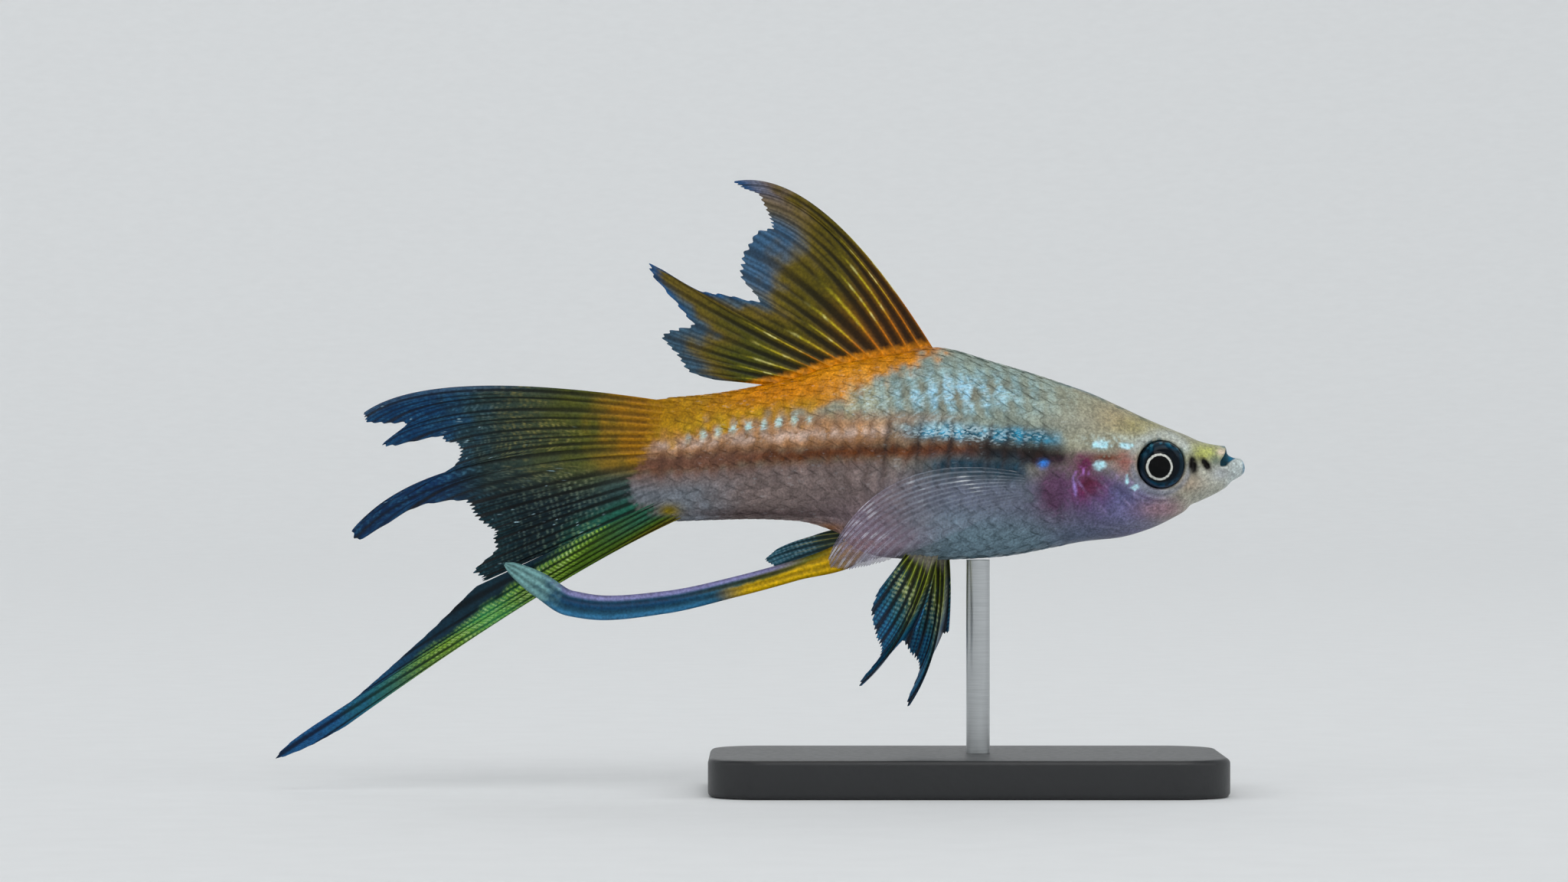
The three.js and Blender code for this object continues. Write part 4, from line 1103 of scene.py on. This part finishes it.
def paint_pectoral(ray, share, back, height, ridge, core, joints, points):
    """A clear lilac web with fine pale rays, and short white dashes of painted highlight on the upper rays.
    """
    fine, dash = grain(points, 0.25, 4), grain(points * [0.5, 1, 1], 0.6, 12)
    colour = coats(
        "#74828f",
        ("#8d7890", ramp(share, 0.4, 0.75)),
        ("#a9b4c4", 0.7 * ridge),
        # White dashes on the upper rays: painted highlights.
        ("#f6faff", ridge * ramp(dash, 0.66, 0.8) * ramp(ray, 0.7, 0.3)),
        ("#34404e", 0.7 * (1 - ridge) * ramp(share, 0.82, 1)),
    )
    colour = colour * (0.75 + 0.5 * fine)[..., None]
    upper = ramp(ray, 1, 0.2)
    cover = 0.05 + 0.42 * ridge * (0.1 + 0.9 * upper) * (0.1 + 1.2 * dash)
    cover = cover + 0.34 * ramp(share, 0.5, 0.95) * ramp(ray, 1, 0.55)
    return colour, np.clip(cover + 0.3 * ramp(share, 0.1, 0), 0, 0.95)


for side, way in (("right", -1), ("left", 1)):
    build_fin(
        f"pectoral_fin_{side}_cast",
        PECTORAL,
        lambda ray, share, way=way: way * (3.9 + 3.4 * share**0.7 + 0.5 * np.sin(np.pi * ray) * share),
        paint_pectoral,
        fin_resin,
        f"pectoral_fin_{side}",
    )

# Gonopodium
# The male's anal fin, a long flattened rod of three jointed rays with grooves between them and a hooked
# tip. It springs from the end of the belly with a few short free rays behind it.
# Rows: share of its length, back, height, height across, and how far it swings to the right.
GONOPODIUM = [
    [0, 36, -7.3, 2.8, 0],
    [0.05, 37.3, -8.9, 2.6, 0],
    [0.17, 42, -10.4, 1.9, 0.3],
    [0.35, 47.6, -11.9, 1.9, 0.9],
    [0.55, 54, -13.3, 2.1, 1.6],
    [0.72, 59.5, -13.8, 2.3, 2.2],
    [0.83, 62.9, -13.35, 2.4, 2.5],
    [0.92, 65.6, -11.7, 2.3, 2.7],
    [0.98, 68.2, -10.1, 1.2, 2.85],
    [1, 68.9, -9.7, 0.3, 2.9],
]
GONOPODIUM_STEPS = 200
GONOPODIUM_SIDES = 48

share = np.linspace(0, 1, GONOPODIUM_STEPS)
middle_back, middle_height, across, right = smoothly(GONOPODIUM, share).T
heading = np.arctan2(np.gradient(middle_height), np.gradient(middle_back))[:, None]
turn = 2 * np.pi * (np.arange(GONOPODIUM_SIDES) + 0.5) / GONOPODIUM_SIDES
lift = 0.5 * across[:, None] * np.cos(turn)
rays = 0.5 + 0.5 * np.cos(3 * np.pi * np.cos(turn))
joint_wave = 0.5 + 0.5 * np.cos(2 * np.pi * share * 36 / 0.42)[:, None]
thick = np.minimum(0.95, across[:, None]) / 2
thick = thick * (0.62 + 0.34 * rays - 0.05 * rays * joint_wave)
rod_back = middle_back[:, None] - lift * np.sin(heading)
rod_height = middle_height[:, None] + lift * np.cos(heading)
rod_points = place(rod_back, rod_height, -right[:, None] + thick * np.sin(turn))
level = np.cos(turn)[None, :] * np.ones_like(rod_back)
run = share[:, None] * np.ones_like(rod_back)
fine = grain(rod_points, 0.3, 13)
underside = level + 0.25 * (fine - 0.5) - 0.5 * ramp(run, 0.25, 0.1)
rod_colour = coats(
    "#1f5674",
    ("#39501c", ramp(run, 0.46, 0.24)),
    ("#666414", ramp(run, 0.34, 0.2)),
    ("#d8ae06", ramp(underside, 0.15, -0.2) * ramp(run, 0.42, 0.3)),
    ("#b98b0a", 0.9 * ramp(run, 0.13, 0.03)),
    ("#2c3414", 0.7 * ramp(np.abs(level - 0.3), 0.22, 0.08) * ramp(run, 0.6, 0.4) * ramp(run, 0.12, 0.25)),
    ("#8583b4", 0.95 * ramp(level, 0.42, 0.75) * ramp(run, 0.12, 0.26) * ramp(run, 0.97, 0.8)),
    ("#083a5e", 0.9 * ramp(np.abs(level - 0.1), 0.42, 0.14) * ramp(run, 0.38, 0.55) * ramp(run, 0.95, 0.82)),
    ("#3f88b8", 0.9 * ramp(level, -0.5, -0.85) * ramp(run, 0.36, 0.5) * ramp(run, 0.95, 0.8)),
    ("#6f9c9c", ramp(run + 0.08 * (fine - 0.5), 0.84, 0.95)),
)
rod_colour = rod_colour * (0.45 + 0.5 * rays[None, :] * np.ones_like(run) + 0.35 * fine)[..., None]
rod_points, rod_colour = capped(rod_points), held(rod_colour)
rod_unwrap = pairs(np.linspace(0.01, 0.99, len(turn)), np.linspace(0.01, 0.99, len(rod_points))[:, None])
gonopodium_rod = new_piece(
    "gonopodium_rod",
    rod_points,
    grid_faces(GONOPODIUM_STEPS + 2, GONOPODIUM_SIDES, wrap=True, turned=True),
    fin_resin,
    unwrap=rod_unwrap,
    Pigment=np.clip(rod_colour, 0, 1).reshape(-1, 3),
    Body=np.ones(rod_colour.shape[0] * rod_colour.shape[1]),
)
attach(gonopodium_rod, "root")
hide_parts("gonopodium")

ANAL_RAYS = dict(
    rays=5, columns=16, rows=40,
    root=[[0, 38, -6.5], [1, 36.9, -8]],
    margin=[[0, 41.6, -7.9], [0.25, 43.6, -8.3], [0.6, 44.9, -9.4], [1, 43.4, -10.3]],
    bow=[[0, 0.6, 0.12], [1, 0.6, 0.04]],
    forks=(0.5, 0.8), webs=(0.3, 0.2), joint=0.45, comb=0.35, membrane=0.08, ray_height=0.13,
)


def paint_anal(ray, share, back, height, ridge, core, joints, points):
    """A dark teal web with dull gold rays."""
    fine = grain(points, 0.22, 10)
    colour = coats("#1d4a58", ("#3a4a3c", ramp(share, 0.5, 0.1)), ("#2c6478", ramp(share, 0.6, 1)))
    colour = colour * (0.3 + 0.7 * ridge * (0.7 + 0.6 * fine))[..., None]
    colour = coats(colour, ("#a8983c", 0.6 * core * ramp(ray, 1, 0.5)))
    return coats(colour, ("#8fb4c4", 0.4 * ridge * ramp(joints, 0.5, 1))), np.ones_like(ridge)


build_fin(
    "anal_rays_cast", ANAL_RAYS, lambda ray, share: 0 * share * ray, paint_anal, fin_resin, "gonopodium"
)

# Eyes
# Polished resin domes set into the sockets: a black pupil with a silver ring, and a blue-black iris with
# teal at its upper and lower rims, all under a clear gloss.
EYE_RADIUS = 2.2
EYE_DEPTH = 1.45
EYE_OUT = 2.45
EYE_TURNED = 0.17
EYE_SIDES = 96
DOME_POWER = 3.4
PUPIL_RADIUS = 1.02
RING_RADIUS = 1.22
CORNEA_LIFT = 0.13
PUPIL_BACK = 0.42
PUPIL_BELOW = 0.2

eye_gloss, tree = new_material("polished_eye_resin")
# Cast resin under a poured clear coat: as glossy as a wet eye.
surface(
    tree,
    [("Roughness", 0.05), ("IOR", 1.38), ("Specular IOR Level", 0.18)],
    [("Base Color", painted(tree, "Pigment")["Color"])],
)

for side, way in (("right", -1), ("left", 1)):
    dome_rise = np.concatenate([np.linspace(0.004, 0.99, 70), np.linspace(0.995, 1, 4)])
    rise = np.concatenate([dome_rise, np.linspace(0.97, 0.01, 16)])
    front = np.arange(len(rise)) < len(dome_rise)
    circle = 2 * np.pi * np.arange(EYE_SIDES) / EYE_SIDES
    radial = EYE_RADIUS * rise[:, None] * np.ones(EYE_SIDES)
    dome = np.clip(1 - rise**DOME_POWER, 0, 1) ** (1 / DOME_POWER)
    outward = np.where(front, EYE_DEPTH * dome, -0.9 * EYE_DEPTH * np.sqrt(np.clip(1 - rise**2, 0, 1)))
    outward = outward[:, None] * np.ones(EYE_SIDES)
    eye_b, eye_h = radial * np.cos(circle), radial * np.sin(circle)
    from_pupil = np.hypot(eye_b - PUPIL_BACK, eye_h + PUPIL_BELOW)
    outward = outward + CORNEA_LIFT * np.where(front[:, None], ramp(from_pupil, 1.5, 0.9), 0)
    turned_b = eye_b * np.cos(EYE_TURNED) - outward * np.sin(EYE_TURNED)
    turned_o = eye_b * np.sin(EYE_TURNED) + outward * np.cos(EYE_TURNED)
    eye_points = place(EYE_BACK + turned_b, -EYE_BELOW_AXIS + eye_h, way * (EYE_OUT + turned_o))
    fibre = grain(np.stack([np.cos(circle) * 8 * MM, np.sin(circle) * 8 * MM, 0 * circle], axis=-1), 0.5, 15)
    mottle = grain(eye_points, 0.28, 16)
    upness = np.sin(circle) * np.ones_like(radial)
    ring = from_pupil + 0.07 * (fibre - 0.5)
    past_ring = ring - RING_RADIUS
    eye_colour = coats(
        "#050d16",
        ("#06212f", 0.9 * ramp(radial, 1.45, 1.7)),
        ("#17506a", ramp(radial, 1.55, 1.95) * ramp(upness, 0.2, 0.8) * ramp(mottle, 0.4, 0.8)),
        ("#0e4460", 0.9 * ramp(radial, 1.55, 1.95) * ramp(upness, -0.3, -0.8) * ramp(mottle, 0.4, 0.8)),
        ("#3f7f92", 0.7 * ramp(radial, 1.85, 2.05) * ramp(upness, 0.4, 0.85) * ramp(mottle, 0.5, 0.8)),
        ("#4c5a72", 0.6 * bell(radial - 2.08, 0.1) * ramp(upness, 0.0, -0.6)),
        ("#d9dad2", ramp(ring, PUPIL_RADIUS, PUPIL_RADIUS + 0.05) * ramp(past_ring, 0.05, 0)),
        ("#77827f", 0.6 * bell(ring - RING_RADIUS + 0.03, 0.05) * ramp(fibre, 0.45, 0.7)),
        ("#02090e", ramp(past_ring, 0, 0.06) * ramp(past_ring, 0.3, 0.1)),
        ("#010203", ramp(ring, PUPIL_RADIUS + 0.02, PUPIL_RADIUS - 0.04)),
    )
    eye = new_piece(
        f"eye_{side}_cast",
        eye_points,
        grid_faces(len(rise), EYE_SIDES, wrap=True, turned=way < 0),
        eye_gloss,
        Pigment=np.clip(eye_colour, 0, 1).reshape(-1, 3),
    )
    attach(eye, "root")
    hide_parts(f"eye_{side}")

# Stand
# A flat steel base with rounded corners, powder-coated black, and one brushed steel rod up to the belly.
BASE_CORNER = 5
BASE_EDGE = 0.5
PLATE_SIDES = 160
ROD_SIDES = 64
base_low, base_high = [np.array(corner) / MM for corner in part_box("stand_base")]
rod_low, rod_high = [np.array(corner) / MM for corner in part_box("stand_rod")]


def rounded_plate(low, high, corner, edge):
    """Rings of a plate with round corners and a quarter-round edge above and below, closed in the middle."""
    centre = (low + high) / 2
    half = (high - low) / 2
    turn = 2 * np.pi * (np.arange(PLATE_SIDES) + 0.5) / PLATE_SIDES
    quarter = np.linspace(0, np.pi / 2, 8)
    fall, rise = edge * (1 - np.sin(quarter)), edge * (1 - np.cos(quarter))
    inset = np.concatenate([[corner - 0.02], fall, rise, [corner - 0.02]])
    level = np.concatenate([[0], rise, 2 * half[2] - fall, [2 * half[2]]])
    rings = []
    for radius, z in zip(corner - inset, level):
        x = np.sign(np.cos(turn)) * (half[0] - corner) + radius * np.cos(turn)
        y = np.sign(np.sin(turn)) * (half[1] - corner) + radius * np.sin(turn)
        rings.append(np.stack([centre[0] + x, centre[1] + y, np.full_like(x, low[2] + z)], axis=-1))
    return capped(np.array(rings)) * MM


black_coat, tree = new_material("black_powder_coat")
# Baked powder paint: satin black with the faint orange peel that it sets with.
peel = noise(tree, 1600.0, 2.0, own_places(tree))
tint = blend(tree, peel, "#1a1b1d", "#232426")
dulled, peel_bump = spread(tree, peel, (0.34, 0.5)), bumps(tree, peel, 0.3, 0.00006)
surface(tree, [("IOR", 1.5)], [("Base Color", tint), ("Roughness", dulled), ("Normal", peel_bump)])

plate_rings = rounded_plate(base_low, base_high, BASE_CORNER, BASE_EDGE)
stand_plate = new_piece(
    "stand_plate", plate_rings, grid_faces(len(plate_rings), PLATE_SIDES, wrap=True), black_coat
)
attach(stand_plate, "root")
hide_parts("stand_base")

brushed, tree = new_material("brushed_steel_rod")
# Drawn stainless rod, brushed round with fine abrasive: narrow rings of slightly different gloss.
rings = [("Scale", (300.0, 300.0, 9000.0))]
stretched = add_node(tree, "ShaderNodeMapping", rings, [("Vector", own_places(tree))])
strokes = noise(tree, 1.0, 4.0, stretched.outputs[0])
tint = blend(tree, strokes, "#a9acae", "#c9cccd")
worn, scratch = spread(tree, strokes, (0.24, 0.42)), bumps(tree, strokes, 0.15, 0.00003)
surface(tree, [("Metallic", 1.0)], [("Base Color", tint), ("Roughness", worn), ("Normal", scratch)])

rod_radius = (rod_high[0] - rod_low[0]) / 2
foot, top = base_high[2], rod_high[2]
rod_level = np.array([foot, foot, foot + 0.02, top - 0.05, top, top])
rod_width = np.array([0.01, rod_radius, rod_radius, rod_radius, rod_radius, 0.01])
rod_rings = revolved(rod_width, rod_level, ROD_SIDES)
rod_rings[..., 0] += (rod_low[0] + rod_high[0]) / 2 * MM
rod_faces = grid_faces(len(rod_level), ROD_SIDES, wrap=True)
stand_upright = new_piece("stand_upright", rod_rings, rod_faces, brushed)
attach(stand_upright, "root")
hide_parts("stand_rod")
